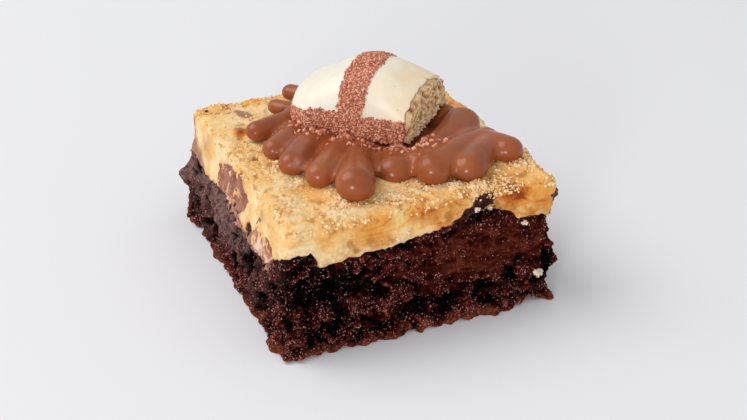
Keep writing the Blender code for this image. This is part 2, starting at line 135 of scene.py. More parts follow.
LUMPS = round_marks(
    mm(1),
    (-36, 39.5, 11.2, 3.2, 2.6),
    (36.5, -38.5, 11.4, 4.2, 1.4),
    (36.5, -41, 1.8, 3.2, -0.9),
    (-13, -42.5, 1.2, 6, 1.3),
    (0, -42.5, 1.0, 4.5, 0.8),
    (-35, 40, 23.5, 4.2, -1.5),
    (36.4, -22, 30, 7, 1.0),
    (36.4, 12, 13, 4.5, 1.6),
    (36.4, 33, 7, 4.0, 1.5),
    (37, -38, 30, 5.5, 1.1),
    (35.5, -39.5, 20.6, 2.2, -1.3),
    (36, -40, 6, 2.2, -1.4),
    (-28, -41, 17, 3.4, -1.8),
    (-14, -41, 13, 3.0, -1.7),
    (2, -41, 5, 3.2, -1.6),
    (16, -41, 7, 3.0, -1.7),
    (27, -40, 10, 2.8, -1.5),
    (-36, 20, 10, 3.0, -1.4),
    (-36, -12, 12, 3.0, -1.5),
    (-35, -31, 14, 3.0, -1.6),
)
TORN_MARKS = round_marks(
    mm(1),
    (-32, -40, 23.8, 3.1, 2.7),
    (-30, -41, 17.6, 2.6, -2.4),
    (-24, -41, 15, 3.0, -2.2),
    (-26, -40.5, 20.4, 1.6, -1.8),
    (-36, -37, 19, 2.0, -1.8),
    (-35, -1.7, 20.2, 1.6, -1.6),
    (-35, -16, 18.6, 1.5, -1.5),
    (-35.5, 32.2, 16.8, 2.0, -1.4),
    (-36, 33.9, 5.6, 2.0, -1.3),
)
MARK_DEPTH = mm(1.2)
MOIST = 0.14
FUDGY_PLACE = mm(17, -41, 17)
FUDGY_SIZE = mm(20, 8, 8)
FUDGY_EDGE = 1.5
FUDGY_UNEVEN = 0.4, mm(5)
CRUST_EDGE, CRUST_MIDDLE = 2.4, 0.75
CRUST_WANDER = 0.9, mm(4.5)
CRUST_FRAYED = 0.5, mm(1.6)
LEAST_SMEAR = 0.4
SMEAR_PATCHES = 0.9, mm(7)
CRUMB_FALL, CREASE_LIFT = 1.6, 0.4
TUFT_MIDDLE, GRAIN_MIDDLE, FOLD_MIDDLE = 0.45, 0.4, 0.4
FISSURE_FROM, PIT_FROM, VOID_FROM = 0.16, 0.22, 0.12
VOID_RAGGED = 0.35, mm(1.3)
FUDGE_CALMS, CRUST_CALMS, SMEAR_CALMS = 0.88, 0.6, 0.7
SMEAR_FILLS = 0.8
HOLLOW_GAIN, VOID_GAIN = 3.0, 1.8
CRUMB_TONE = 0.52
TUFT_SHADE, GRAIN_SHADE, HOLLOW_SHADE = 0.3, 0.36, 0.6
GRAINS_SHARE, FEWEST_GRAINS, CRUST_GRAINS = 0.5, 0.02, 0.7
GRAINS_PATCHES = 1.2, mm(4)
BARE_SMEAR, BARE_HOLLOW = 0.8, 0.8
GRAINS_FROM = mm(1.1)
GRAINS_UNTIL = mm(0.4)
TINY = 1e-9
SHORTEST = 1e-12


def box_grid(cells):
    """A cube from -1 to 1 on each axis, its surface cut into cells: its corners and quads."""
    corners, quads, count = [], [], 0
    for axis in range(3):
        across, along = (axis + 1) % 3, (axis + 2) % 3
        steps = np.arange(cells[across] + 1), np.arange(cells[along] + 1)
        i, j = np.meshgrid(*steps, indexing="ij")
        for end in (0, cells[axis]):
            face = np.zeros((*i.shape, 3), int)
            face[..., axis], face[..., across], face[..., along] = end, i, j
            index = np.arange(i.size).reshape(i.shape) + count
            quad = np.stack([index[:-1, :-1], index[1:, :-1], index[1:, 1:], index[:-1, 1:]], -1)
            quads.append(quad.reshape(-1, 4) if end else quad.reshape(-1, 4)[:, ::-1])
            corners.append(face.reshape(-1, 3))
            count += i.size
    corners, index = np.unique(np.concatenate(corners), axis=0, return_inverse=True)
    return corners / np.array(cells) * 2 - 1, index.reshape(-1)[np.concatenate(quads)]


def waves(points, size, shift=(0.0, 0.0, 0.0)):
    """Smooth noise from -1 to 1 at each point, with features of about this size."""
    return np.array([noise.noise(place) for place in (points / size + shift).tolist()])


def tufts(points, size, shift=(0.0, 0.0, 0.0)):
    """Rounded crumbs of about this size: 1 on top of a crumb, 0 or less in the creases."""
    places = (points / size + shift).tolist()
    near = np.array([noise.voronoi(place)[0][:2] for place in places])
    return 1 - CRUMB_FALL * near[:, 0] + CREASE_LIFT * (near[:, 1] - near[:, 0])


def folds(points, size, shift=(0.0, 0.0, 0.0)):
    """Noise with sharp ridges: 1 along a ridge, falling away on both sides."""
    return 1 - 2 * abs(waves(points, size, shift))


def humps(points, marks):
    """The sum at each point of round marks: each has a place, a spread and a strength."""
    total = np.zeros(len(points))
    for place, spread, strength in marks:
        total += strength * np.exp(-((np.linalg.norm(points - place, axis=1) / spread) ** 2))
    return total


def broad_crumb(points, heights):
    """The slice's large and middling unevenness."""
    wide, narrow = BROAD_SPREAD
    large = heights[0] * waves(points, wide)
    return large + heights[1] * waves(points, narrow, (5, 3, 9))


def sides_at(z):
    """The left, right, front and back sides at height z."""
    sides = (LEFT_SIDE, RIGHT_SIDE, FRONT_SIDE, BACK_SIDE)
    return [np.interp(z, SIDE_LEVELS, side) for side in sides]


def seam_height(s, t, x, y):
    """The seam's height: it follows each cut side's own line and is level deep inside."""
    left, right, front, back = sides_at(SEAM_LEVEL)
    near_x = np.clip(1 - (1 - abs(s)) * (right - left) / 2 / SEAM_REACH, 0, 1) ** 2
    near_y = np.clip(1 - (1 - abs(t)) * (back - front) / 2 / SEAM_REACH, 0, 1) ** 2
    rise_x = np.where(s < 0, np.interp(y, *LEFT_SEAM), np.interp(y, *RIGHT_SEAM)) - SEAM_LEVEL
    rise_y = np.where(t < 0, np.interp(x, *FRONT_SEAM), np.interp(x, *BACK_SEAM)) - SEAM_LEVEL
    shared = near_x * near_y * (rise_x + rise_y) / 2
    flat = np.stack([x, y, 0 * x], 1)
    ragged = SEAM_RAGGED[0] * waves(flat, SEAM_RAGGED[1])
    ragged += SEAM_FRAYED[0] * waves(flat, SEAM_FRAYED[1])
    ragged *= np.maximum(near_x, near_y)
    return SEAM_LEVEL + near_x * rise_x + near_y * rise_y - shared + ragged


def slice_points(grid, is_cookie):
    """Where a layer's grid corners go, the way out at each, and the seam's height there."""
    s, t, share = grid[:, 0], grid[:, 1], (grid[:, 2] + 1) / 2
    left, right, front, back = sides_at(SEAM_LEVEL)
    x = left + (right - left) * (s + 1) / 2
    y = front + (back - front) * (t + 1) / 2
    seam = seam_height(s, t, x, y)
    top = TOP_HEIGHT + TOP_SWELL * (1 - s * s) * (1 - t * t)
    z = seam + (top - seam) * share if is_cookie else seam * share
    left, right, front, back = sides_at(z)
    x = left + (right - left) * (s + 1) / 2
    y = front + (back - front) * (t + 1) / 2
    points = np.stack([x, y, z], 1)
    far = np.ones_like(z)
    floor, roof, radius = (-far, top, EDGE_ROUND) if is_cookie else (0 * far, far, FOOT_ROUND)
    low, high = np.stack([left, front, floor], 1), np.stack([right, back, roof], 1)
    inner = np.clip(points, low + radius, high - radius)
    out = points - inner
    length = np.maximum(np.linalg.norm(out, axis=1, keepdims=True), SHORTEST)
    reach = abs(out).max(axis=1, keepdims=True)
    points = np.where(length > TINY, inner + out * reach / length, points)
    return points, out / length, seam


def new_material(name):
    """A material, its tree and its main shader."""
    made = bpy.data.materials.new(name)
    made.use_nodes = True
    return made, made.node_tree, made.node_tree.nodes["Principled BSDF"]


def fill_in(tree, node, values):
    """The node's inputs by name: a value that is a socket is linked, any other is set."""
    sockets = {socket.name: socket for socket in node.inputs if socket.enabled}
    for name, value in values.items():
        if isinstance(value, bpy.types.NodeSocket):
            tree.links.new(value, sockets[name])
        else:
            sockets[name].default_value = value


def add(tree, kind, values=None, **settings):
    """A new node in the tree, with its settings and its inputs."""
    made = tree.nodes.new(kind)
    for name, value in settings.items():
        setattr(made, name, value)
    fill_in(tree, made, values or {})
    return made


def result(node):
    """The output of a node that has only one in use."""
    return next(socket for socket in node.outputs if socket.enabled)


def ramp(tree, amount, *stops):
    """Colours along an amount: each stop is a place and a colour, in rising order."""
    made = add(tree, "ShaderNodeValToRGB", {"Fac": amount})
    elements = made.color_ramp.elements
    for place, _ in stops[1:-1]:
        elements.new(place)
    for stop, (place, colour) in zip(elements, stops):
        stop.position = place
        stop.color = (*colour, 1.0)
    return made.outputs["Color"]


def graded(tree, amount, low, high, first=0.0, last=1.0):
    """An amount mapped so that it goes from first at low to last at high."""
    ends = {"From Min": low, "From Max": high, "To Min": first, "To Max": last}
    return result(add(tree, "ShaderNodeMapRange", {"Value": amount, **ends}))


def own(tree, name):
    """A piece's own float attribute."""
    return add(tree, "ShaderNodeAttribute", attribute_name=name).outputs["Fac"]


def speckle(tree, size, detail=3.0, roughness=0.6, stretch=(1, 1, 1)):
    """Noise over the piece, from 0 to 1, with features of this size in metres."""
    place = add(tree, "ShaderNodeTexCoord").outputs["Object"]
    place = result(add(tree, "ShaderNodeMapping", {"Vector": place, "Scale": stretch}))
    values = {"Vector": place, "Scale": 1 / size, "Detail": detail, "Roughness": roughness}
    return add(tree, "ShaderNodeTexNoise", values).outputs["Fac"]


def jittered(tree, amount, fleck):
    """An amount made uneven by a noise, so that its edges fray."""
    moved = add(tree, "ShaderNodeMath", operation="ADD")
    tree.links.new(amount, moved.inputs[0])
    tree.links.new(graded(tree, fleck, 0.0, 1.0, -0.5, 0.5), moved.inputs[1])
    return result(moved)


def mixed(tree, amount, first, second, blend="MIX"):
    """Two colours mixed by an amount."""
    values = {"Factor": amount, "A": first, "B": second}
    return result(add(tree, "ShaderNodeMix", values, data_type="RGBA", blend_type=blend))


def bumped(tree, height, distance, strength=1.0):
    """A fine bumpy detail that the mesh is too coarse for."""
    values = {"Height": height, "Distance": distance, "Strength": strength}
    return result(add(tree, "ShaderNodeBump", values))


def linked_object(name, mesh):
    """An object of this mesh, in the scene."""
    made = bpy.data.objects.new(name, mesh)
    bpy.context.scene.collection.objects.link(made)
    return made


def store(mesh, key, amounts):
    """A float attribute of the mesh, one amount for each of its points."""
    stored = mesh.attributes.new(key, "FLOAT", "POINT")
    stored.data.foreach_set("value", amounts.astype(np.float32))


def new_piece(name, points, faces, material, values=None):
    """A piece from its corners and faces, with float attributes for its material."""
    mesh = bpy.data.meshes.new(name)
    mesh.from_pydata(points.tolist(), [], [list(face) for face in faces])
    mesh.materials.append(material)
    mesh.shade_smooth()
    for key, amounts in (values or {}).items():
        store(mesh, key, amounts)
    return linked_object(name, mesh)


def place_piece(piece, slot, *nodes):
    """The piece rides on the slice and stands for the nodes; the slot is not used."""
    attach(piece, "root")
    if nodes:
        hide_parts(*nodes)


def without_inside(grid, quads, ends):
    """The quads without those far inside these flat ends, where no one sees them."""
    inside = (abs(grid[:, :2]).max(axis=1) < INSIDE) & np.isin(grid[:, 2], ends)
    return quads[~inside[quads].all(axis=1)]


def close_inside(piece):
    """Closes a piece's open ends, each with a fan of faces round one corner."""
    bm = bmesh.new()
    bm.from_mesh(piece.data)
    loose = [vert for vert in bm.verts if not vert.link_faces]
    bmesh.ops.delete(bm, geom=loose, context="VERTS")
    rims = [edge for edge in bm.edges if edge.is_boundary]
    caps = bmesh.ops.holes_fill(bm, edges=rims, sides=0)["faces"]
    bmesh.ops.poke(bm, faces=caps)
    bmesh.ops.recalc_face_normals(bm, faces=bm.faces[:])
    bm.to_mesh(piece.data)
    bm.free()


brownie_crumb, tree, shader = new_material("brownie_crumb")
mottle = speckle(tree, mm(1.1), 4.0, 0.7)
grit = speckle(tree, mm(0.4), 4.0, 0.75)
# Painted shade and light: the crumb is darker where its relief shade is low, in the hollows, and lighter
# on the tufts.
crumb_colour = ramp(
    tree,
    jittered(tree, own(tree, "relief_shade_and_tone"), mottle),
    (0.1, (0.0006, 0.0001, 0.0001)),
    (0.36, (0.009, 0.0008, 0.0005)),
    (0.5, (0.042, 0.0035, 0.002)),
    (0.68, (0.145, 0.019, 0.013)),
    (0.95, (0.42, 0.14, 0.11)),
)
# The smear's grey: partly the knife smear's own colour, partly a painted sheen of the light falling on
# the left side.
smear_sheen_colour = ramp(
    tree,
    mottle,
    (0.3, (0.03, 0.006, 0.005)),
    (0.42, (0.14, 0.07, 0.063)),
    (0.7, (0.36, 0.21, 0.19)),
)
crust_colour = ramp(tree, mottle, (0.34, (0.05, 0.006, 0.003)), (0.66, (0.32, 0.085, 0.04)))
# Painted shade and light along the swirls: darker in their grooves, lighter on their ridges.
fudge_colour = ramp(
    tree,
    jittered(tree, own(tree, "ripple_shade"), mottle),
    (0.2, (0.03, 0.0025, 0.001)),
    (0.55, (0.075, 0.0085, 0.004)),
    (0.9, (0.2, 0.045, 0.022)),
)
torn_colour = mixed(tree, own(tree, "fudge"), crumb_colour, fudge_colour)
torn_colour = mixed(tree, own(tree, "smear"), torn_colour, smear_sheen_colour)
dragged = speckle(tree, mm(1.3), 4.0, 0.72, (1, 1, 0.55))
flecks = graded(tree, jittered(tree, own(tree, "flecked"), dragged), 0.8, 0.87)
torn_colour = mixed(tree, flecks, torn_colour, (0.56, 0.3, 0.22, 1))
finish = {
    "Base Color": mixed(tree, own(tree, "crust"), torn_colour, crust_colour),
    "Roughness": graded(tree, mottle, 0.35, 0.65, 0.3, 0.7),
    "Specular IOR Level": 0.03,
    "Normal": bumped(tree, grit, mm(0.45)),
}
fill_in(tree, shader, finish)

grid, quads = box_grid(BROWNIE_CELLS)
points, out, seam = slice_points(grid, False)
facing_left = np.clip(-out[:, 0], 0, 1)
fudgy = np.exp(-((((points - FUDGY_PLACE) / FUDGY_SIZE) ** 2).sum(axis=1) ** FUDGY_EDGE))
fudgy = np.clip(fudgy * (1 + FUDGY_UNEVEN[0] * waves(points, FUDGY_UNEVEN[1])), 0, 1)
ragged_foot = CRUST_WANDER[0] * waves(points, CRUST_WANDER[1])
ragged_foot += CRUST_FRAYED[0] * waves(points, CRUST_FRAYED[1], (4, 4, 9))
crust = np.clip(CRUST_EDGE * (CRUST_MIDDLE - points[:, 2] / CRUST_HEIGHT + ragged_foot), 0, 1)
climb = (points[:, 2] - SMEAR_FOOT) / SMEAR_BLEND
patches = SMEAR_PATCHES[0] * waves(points, SMEAR_PATCHES[1], (1, 8, 8))
# Only the side facing left, towards the key light, gets the smear and its painted sheen.
smear = facing_left * np.clip(LEAST_SMEAR + climb + patches, 0, 1)
smear *= np.interp(points[:, 1], *SMEAR_ALONG)
flecked = facing_left * np.clip(2 - 2 * (seam - points[:, 2]) / FLECKS_REACH, 0, 1)
flecked *= np.interp(points[:, 1], *FLECKS_ALONG)
blend = np.clip((seam - points[:, 2]) / BROAD_BLEND, 0, 1)
heights = [low + (high - low) * blend for low, high in zip(COOKIE_BROAD, BROWNIE_BROAD)]
tuft = tufts(points, TUFTS[0]) - TUFT_MIDDLE
grain = tufts(points, GRAINS[0], (3, 7, 1)) - GRAIN_MIDDLE
fissure = np.clip(waves(points * FISSURE_STRETCH, FISSURES[0], (11, 4, 8)) - FISSURE_FROM, 0, 1)
pit = np.clip(waves(points, PITS[0], (2, 14, 3)) - PIT_FROM, 0, 1)
void = waves(points, VOIDS[0], (7, 3, 5))
void += VOID_RAGGED[0] * waves(points, VOID_RAGGED[1], (1, 6, 2))
void = np.clip(void - VOID_FROM, 0, 1)
near_seam = np.clip(2 * blend, 0, 1)
void *= (1 - smear) * near_seam
swirl = folds(points * SWIRL_STRETCH, SWIRLS[0], (6, 2, 2)) - FOLD_MIDDLE
marks = humps(points, TORN_MARKS)
calm = (1 - FUDGE_CALMS * fudgy) * (1 - CRUST_CALMS * crust)
rough = calm * (1 - SMEAR_CALMS * smear)
rise = broad_crumb(points, heights) + humps(points, LUMPS) + marks
rise += rough * (TUFTS[1] * tuft + GRAINS[1] * grain)
open_fissure = FISSURES[1] * fissure * (1 - SMEAR_FILLS * smear)
rise -= calm * (open_fissure + PITS[1] * pit + VOIDS[1] * void)
rise += SWIRLS[1] * swirl * fudgy + CRUST_RISE * crust - TORN_INSET * near_seam
hidden = abs(out).max(axis=1) < TINY
points = points + out * np.where(hidden, 0, rise)[:, None]
points[:, 2] = np.maximum(points[:, 2], 0)
opened = calm * HOLLOW_GAIN * (fissure + pit + VOID_GAIN * void)
hollowed = np.clip(opened - marks / MARK_DEPTH, 0, 1)
# Painted shade and light: darker deep in the hollows, lighter on tufts and grains; the knob is also
# darker because it is moist.
relief_shade_and_tone = CRUMB_TONE + rough * (TUFT_SHADE * tuft + GRAIN_SHADE * grain) - HOLLOW_SHADE * hollowed
relief_shade_and_tone -= MOIST * np.clip(marks / MARK_DEPTH, 0, 1)
patches = GRAINS_SHARE + GRAINS_PATCHES[0] * waves(points, GRAINS_PATCHES[1], (9, 9, 2))
gritty = np.clip(calm * patches + CRUST_GRAINS * crust, FEWEST_GRAINS, 1)
gritty *= (1 - BARE_SMEAR * smear) * (1 - BARE_HOLLOW * hollowed)
gritty *= (points[:, 2] < seam - GRAINS_UNTIL) & (points[:, 2] > GRAINS_FROM)
brownie = new_piece(
    "brownie_torn",
    points,
    without_inside(grid, quads, (-1, 1)),
    brownie_crumb,
    {
        "relief_shade_and_tone": relief_shade_and_tone,
        "crust": crust,
        "smear": smear * (1 - hollowed),
        "fudge": fudgy * (1 - hollowed),
        "ripple_shade": 0.5 + 0.5 * swirl,
        "flecked": flecked,
        "gritty": gritty,
    },
)
close_inside(brownie)
place_piece(brownie, "brownie_crumb", "brownie")


# Brownie crumbs. Thousands of grains of the sponge, half a millimetre across at most, still
# cling to its torn sides. Each is a rough little crystal of a random reddish tone; the palest,
# pinkish ones are painted highlights that stand in for the sponge's sparkle.
BROWNIE_GRAIN = mm(0.17)
BROWNIE_DENSITY = 8.5e6
FEWEST_FACETS = 4, 2
ROUND_FACETS = 5, 3

brownie_grain, tree, shader = new_material("brownie_grain")
# The palest, pinkish tones are painted sparkle highlights.
grain_colour = ramp(
    tree,
    own(tree, "tone"),
    (0.0, (0.04, 0.005, 0.003)),
    (0.5, (0.12, 0.016, 0.01)),
    (0.8, (0.34, 0.09, 0.07)),
    (1.0, (0.72, 0.38, 0.32)),
)
fill_in(tree, shader, {"Base Color": grain_colour, "Roughness": 0.5, "Specular IOR Level": 0.09})


def settled(piece):
    """The piece with its modifiers made part of its mesh."""
    graph = bpy.context.evaluated_depsgraph_get()
    mesh = bpy.data.meshes.new_from_object(piece.evaluated_get(graph))
    piece.modifiers.clear()
    piece.data = mesh
    return piece


def strew(name, surface, mask, material, density, size, facets, spread=(0.6, 1.5), seed=1):
    """Grains strewn on a mesh where its mask attribute lets them, as one plain mesh."""
    tree = bpy.data.node_groups.new(f"strew_{name}", "GeometryNodeTree")
    tree.interface.new_socket("Surface", in_out="INPUT", socket_type="NodeSocketGeometry")
    inputs = {
        "Density": ("NodeSocketFloat", density),
        "Grain size": ("NodeSocketFloat", size),
        "Smallest": ("NodeSocketFloat", spread[0]),
        "Largest": ("NodeSocketFloat", spread[1]),
        "Facets round": ("NodeSocketInt", facets[0]),
        "Facets up": ("NodeSocketInt", facets[1]),
        "Seed": ("NodeSocketInt", seed),
    }
    keys = {}
    for label, (kind, value) in inputs.items():
        socket = tree.interface.new_socket(label, in_out="INPUT", socket_type=kind)
        keys[socket.identifier] = value
    tree.interface.new_socket("Grains", in_out="OUTPUT", socket_type="NodeSocketGeometry")
    given = add(tree, "NodeGroupInput").outputs
    where = add(tree, "GeometryNodeInputNamedAttribute", {"Name": mask}, data_type="FLOAT")
    amount = add(tree, "ShaderNodeMath", operation="MULTIPLY")
    tree.links.new(given["Density"], amount.inputs[0])
    tree.links.new(where.outputs["Attribute"], amount.inputs[1])
    cover = {"Mesh": given["Surface"], "Density": result(amount), "Seed": given["Seed"]}
    ball = {
        "Radius": given["Grain size"],
        "Segments": given["Facets round"],
        "Rings": given["Facets up"],
    }
    turns = {"Max": (2 * math.pi,) * 3, "Seed": 2}
    least = add(tree, "ShaderNodeCombineXYZ", {axis: given["Smallest"] for axis in "XYZ"})
    most = add(tree, "ShaderNodeCombineXYZ", {axis: given["Largest"] for axis in "XYZ"})
    sizes = {"Min": result(least), "Max": result(most), "Seed": 3}
    lying = {
        "Points": add(tree, "GeometryNodeDistributePointsOnFaces", cover).outputs["Points"],
        "Instance": add(tree, "GeometryNodeMeshUVSphere", ball).outputs["Mesh"],
        "Rotation": result(add(tree, "FunctionNodeRandomValue", turns, data_type="FLOAT_VECTOR")),
        "Scale": result(add(tree, "FunctionNodeRandomValue", sizes, data_type="FLOAT_VECTOR")),
    }
    toned = {
        "Geometry": result(add(tree, "GeometryNodeInstanceOnPoints", lying)),
        "Name": "tone",
        "Value": result(add(tree, "FunctionNodeRandomValue", {"Seed": 4}, data_type="FLOAT")),
    }
    per_grain = {"data_type": "FLOAT", "domain": "INSTANCE"}
    real = {"Geometry": result(add(tree, "GeometryNodeStoreNamedAttribute", toned, **per_grain))}
    coloured = {
        "Geometry": result(add(tree, "GeometryNodeRealizeInstances", real)),
        "Material": material,
    }
    grains = result(add(tree, "GeometryNodeSetMaterial", coloured))
    add(tree, "NodeGroupOutput", {"Grains": grains})
    strewn = linked_object(name, surface)
    modifier = strewn.modifiers.new("strew", "NODES")
    modifier.node_group = tree
    for key, value in keys.items():
        modifier[key] = value
    return settled(strewn)


brownie_grains = strew(
    "brownie_crumbs",
    brownie.data,
    "gritty",
    brownie_grain,
    BROWNIE_DENSITY,
    BROWNIE_GRAIN,
    FEWEST_FACETS,
)
place_piece(brownie_grains, "brownie_crumb")


# Cookie layer. Golden cookie dough baked on the brownie: dry and sandy on top with toasted
# patches, paler and closer where the knife went through, smeared downwards on the left side.
# At the front a pocket of dark brownie has baked up into it. Its colour carries painted shade
# in the dents and streak grooves, and near-black painted shade in the crevices along the left
# seam, at the back left corner and in two pits on top.
COOKIE_CELLS = (200, 228, 30)
TOP_MARKS = round_marks(
    mm(1),
    (-29, 34, 32.5, 2.4, -0.7),
    (-25.5, 32.5, 32.5, 2.4, -0.8),
    (-20, 36.5, 32, 3.0, -0.9),
    (-13, 36.5, 32, 2.6, -0.5),
    (-26.4, 18, 32.6, 1.9, 0.8),
    (-27.1, 1.3, 32.5, 0.9, -1.0),
    (-14, -28, 32, 2.4, 0.6),
    (12, -34, 32, 2.8, 0.7),
    (17.5, -34.6, 32, 2.6, 0.6),
    (30, 24, 32, 4.0, 0.7),
    (33, -21, 32, 7, 0.8),
    (14, 33, 32, 4.0, -0.5),
)
CLUMPS = round_marks(
    1,
    (-23.6, -6.2, 32.6, 2.1, 1.0),
    (12.4, -33.4, 32.8, 2.4, 1.0),
    (17.2, -34.8, 32.6, 2.6, 1.0),
    (-14, -28, 32.6, 3.2, 0.7),
    (-3, -33, 32.6, 3.2, 0.6),
    (24, -35, 32, 3.4, 0.5),
    (32, -28, 32, 3.4, 0.6),
)
TOASTED = round_marks(
    1,
    (-30, 37, 32, 4.5, 0.5),
    (-16, 36, 32, 4, 0.55),
    (-2, 36, 32, 5, 0.75),
    (25, -35, 32, 4.5, 1.15),
    (2.5, -39, 30, 4.5, 0.8),
    (10, -39, 31, 3.5, 0.7),
    (-11, -39, 31, 5, 0.35),
    (24, -39, 27, 4, 0.6),
    (32, -39, 27, 4, 0.45),
    (34, 12, 32, 6, 0.8),
    (34, 27, 32, 7, 0.9),
    (30, 36, 32, 7, 0.8),
    (-26.2, 16.6, 32.6, 2.3, 1.3),
    (31, -20, 32, 5, 0.35),
    (-22, -24, 32, 5, 0.3),
    (-29, 27, 32, 4, 0.25),
)
# Dark marks: brownie baked into the front pocket, and near-black painted shade in the left seam's
# crevices, at the back left corner and in two pits on top.
STAINS_AND_SHADE = round_marks(
    1,
    (16.5, -39.4, 30.0, 2.3, 1.6),
    (19.0, -39.2, 31.4, 1.7, 1.3),
    (14.2, -39.4, 27.6, 1.8, 1.4),
    (12.4, -39.4, 26.6, 2.0, 1.4),
    (9.5, -39.4, 25.4, 1.7, 1.2),
    (-34, -3, 21, 2.2, 1.2),
    (-34, -13, 20.5, 2.2, 1.2),
    (-34, -19, 22, 1.6, 0.9),
    (-33, 37, 24.5, 2.4, 0.8),
    (-31.6, 38.6, 28, 2.4, 0.6),
    (-27.1, 1.3, 32.5, 0.8, 1.4),
    (-30, 34.6, 32.5, 0.9, 0.8),
)
SMUDGED = round_marks(
    1,
    (-34, 8, 24, 4.5, 0.7),
    (-34, -5, 30, 3.0, 0.6),
    (-34, -4, 23, 4.0, 0.55),
    (-34, -26, 21, 3.6, 0.6),
    (-34, -22, 29, 2.2, 0.6),
    (-34, 23, 27, 5, 0.38),
    (-34, 28, 21, 2.6, 0.9),
    (-34, 33, 23.5, 3.0, 1.1),
    (-33, 37.5, 27, 3.0, 0.9),
    (-34.5, 38, 22.5, 3.4, 1.2),
    (-26.4, 18, 33, 1.1, 1.2),
    (-28, 32.3, 32.5, 0.9, 0.6),
    (-26.4, 32, 32.5, 0.9, 0.7),
    (-24.6, 31.7, 32.5, 0.9, 0.7),
    (-23, 31, 32.5, 1.0, 0.8),
    (-22.1, 29.2, 32.5, 1.3, 1.0),
    (-21.5, 27.2, 32.5, 1.5, 1.2),
    (-21.0, 25.4, 32.5, 1.3, 1.1),
)
COOKIE_TUFTS = mm(1.9), mm(0.24)
COOKIE_GRAINS = mm(0.85), mm(0.26)
COOKIE_DENTS = mm(3.4), mm(0.9)
CLUMP_RISE = mm(0.8)
STAIN_DEPTH = mm(0.6)
SMEARS = mm(1.6), mm(0.2)
SMEAR_STRETCH = np.array((1.0, 1.0, 0.22))
LAYERS = mm(1.7), mm(0.26)
LAYER_STRETCH = np.array((0.25, 0.25, 1.0))
BAKED_FROM, BAKED_BLEND = mm(2), mm(3.5)
BAKED_LEFT = 0.6
SANDY_PATCHES = 1.6, mm(8)
SANDY_MIDDLE, LEAST_SANDY = 0.5, 0.12
ROUGH_TOP, ROUGH_SANDY, ROUGH_EDGE, ROUGH_SIDE, ROUGH_CLUMP = 0.35, 0.65, 0.6, 0.3, 2.2
SMUDGE_CALMS = 0.7
COOKIE_TONE = 0.6
COOKIE_TUFT_SHADE, DENT_SHADE, STREAK_SHADE = 0.34, 1.1, 0.14
DENT_FROM, LAYER_FROM, PATCH_FROM = 0.3, 0.3, 0.1
TOAST_LEAST = 0.75
TOAST_UNEVEN = 0.6, mm(3.2)
TOASTED_FRONT, TOASTED_LAYERS = 0.25, 0.9
TOASTED_PATCHES = 0.3, mm(5)
CLUMPS_PALER = 0.7
CRUMBLY_EDGE, STREWN_EDGE, STREWN_TOP = 0.45, 0.5, 0.1
LEVEL_ENOUGH = 0.3

cookie_crumb, tree, shader = new_material("cookie_crumb")
cloud = speckle(tree, mm(6), 3.0, 0.6)
fleck = speckle(tree, mm(0.9), 4.0, 0.7)
grit = speckle(tree, mm(0.45), 4.0, 0.75)
sliced = ramp(tree, fleck, (0.32, (0.6, 0.27, 0.07)), (0.65, (0.88, 0.52, 0.19)))
golden = ramp(tree, fleck, (0.32, (0.86, 0.43, 0.13)), (0.62, (0.99, 0.67, 0.28)))
sandy_cream = ramp(tree, fleck, (0.32, (0.92, 0.61, 0.29)), (0.62, (1.0, 0.84, 0.53)))
dough = mixed(tree, own(tree, "baked"), sliced, golden)
dough = mixed(tree, graded(tree, cloud, 0.46, 0.6), dough, sandy_cream)
crumbly = graded(tree, jittered(tree, own(tree, "crumbly"), fleck), 0.3, 0.8)
dough = mixed(tree, crumbly, dough, (0.97, 0.81, 0.54, 1))
warmth = ramp(
    tree,
    jittered(tree, own(tree, "toast"), fleck),
    (0.0, (1, 1, 1)),
    (0.35, (0.99, 0.78, 0.47)),
    (0.75, (0.76, 0.34, 0.1)),
    (1.0, (0.36, 0.1, 0.03)),
)
# Painted shade: the dough is darkened where its relief shade is low, in dents and streak grooves.
hollow_shade = ramp(tree, own(tree, "relief_shade_and_tone"), (0.12, (0.66, 0.49, 0.33)), (0.45, (1, 1, 1)))
browned_and_shaded = mixed(tree, 1.0, mixed(tree, 1.0, dough, warmth, "MULTIPLY"), hollow_shade, "MULTIPLY")
cocoa = ramp(tree, fleck, (0.3, (0.26, 0.1, 0.055)), (0.65, (0.54, 0.28, 0.17)))
smudged = graded(tree, jittered(tree, own(tree, "smudge"), fleck), 0.15, 0.75)
# The brownie's dark, also near-black painted shade where it marks crevices and pits.
dark = ramp(
    tree,
    fleck,
    (0.35, (0.012, 0.003, 0.002)),
    (0.6, (0.09, 0.025, 0.016)),
    (0.72, (0.4, 0.2, 0.12)),
)
stained_and_shaded = graded(tree, jittered(tree, own(tree, "stain_and_shade"), fleck), 0.4, 0.65)
finish = {
    "Base Color": mixed(tree, stained_and_shaded, mixed(tree, smudged, browned_and_shaded, cocoa), dark),
    "Roughness": 0.6,
    "Specular IOR Level": 0.15,
    "Normal": bumped(tree, grit, mm(0.3), 0.9),
}
fill_in(tree, shader, finish)

grid, quads = box_grid(COOKIE_CELLS)
points, out, seam = slice_points(grid, True)
upward = np.clip(out[:, 2], 0, 1)
facing_left = np.clip(-out[:, 0], 0, 1)
facing_front = np.clip(-out[:, 1], 0, 1)
flat_side = 1 - upward
edge = 4 * upward * flat_side
clump = np.clip(humps(points, CLUMPS), 0, 1)
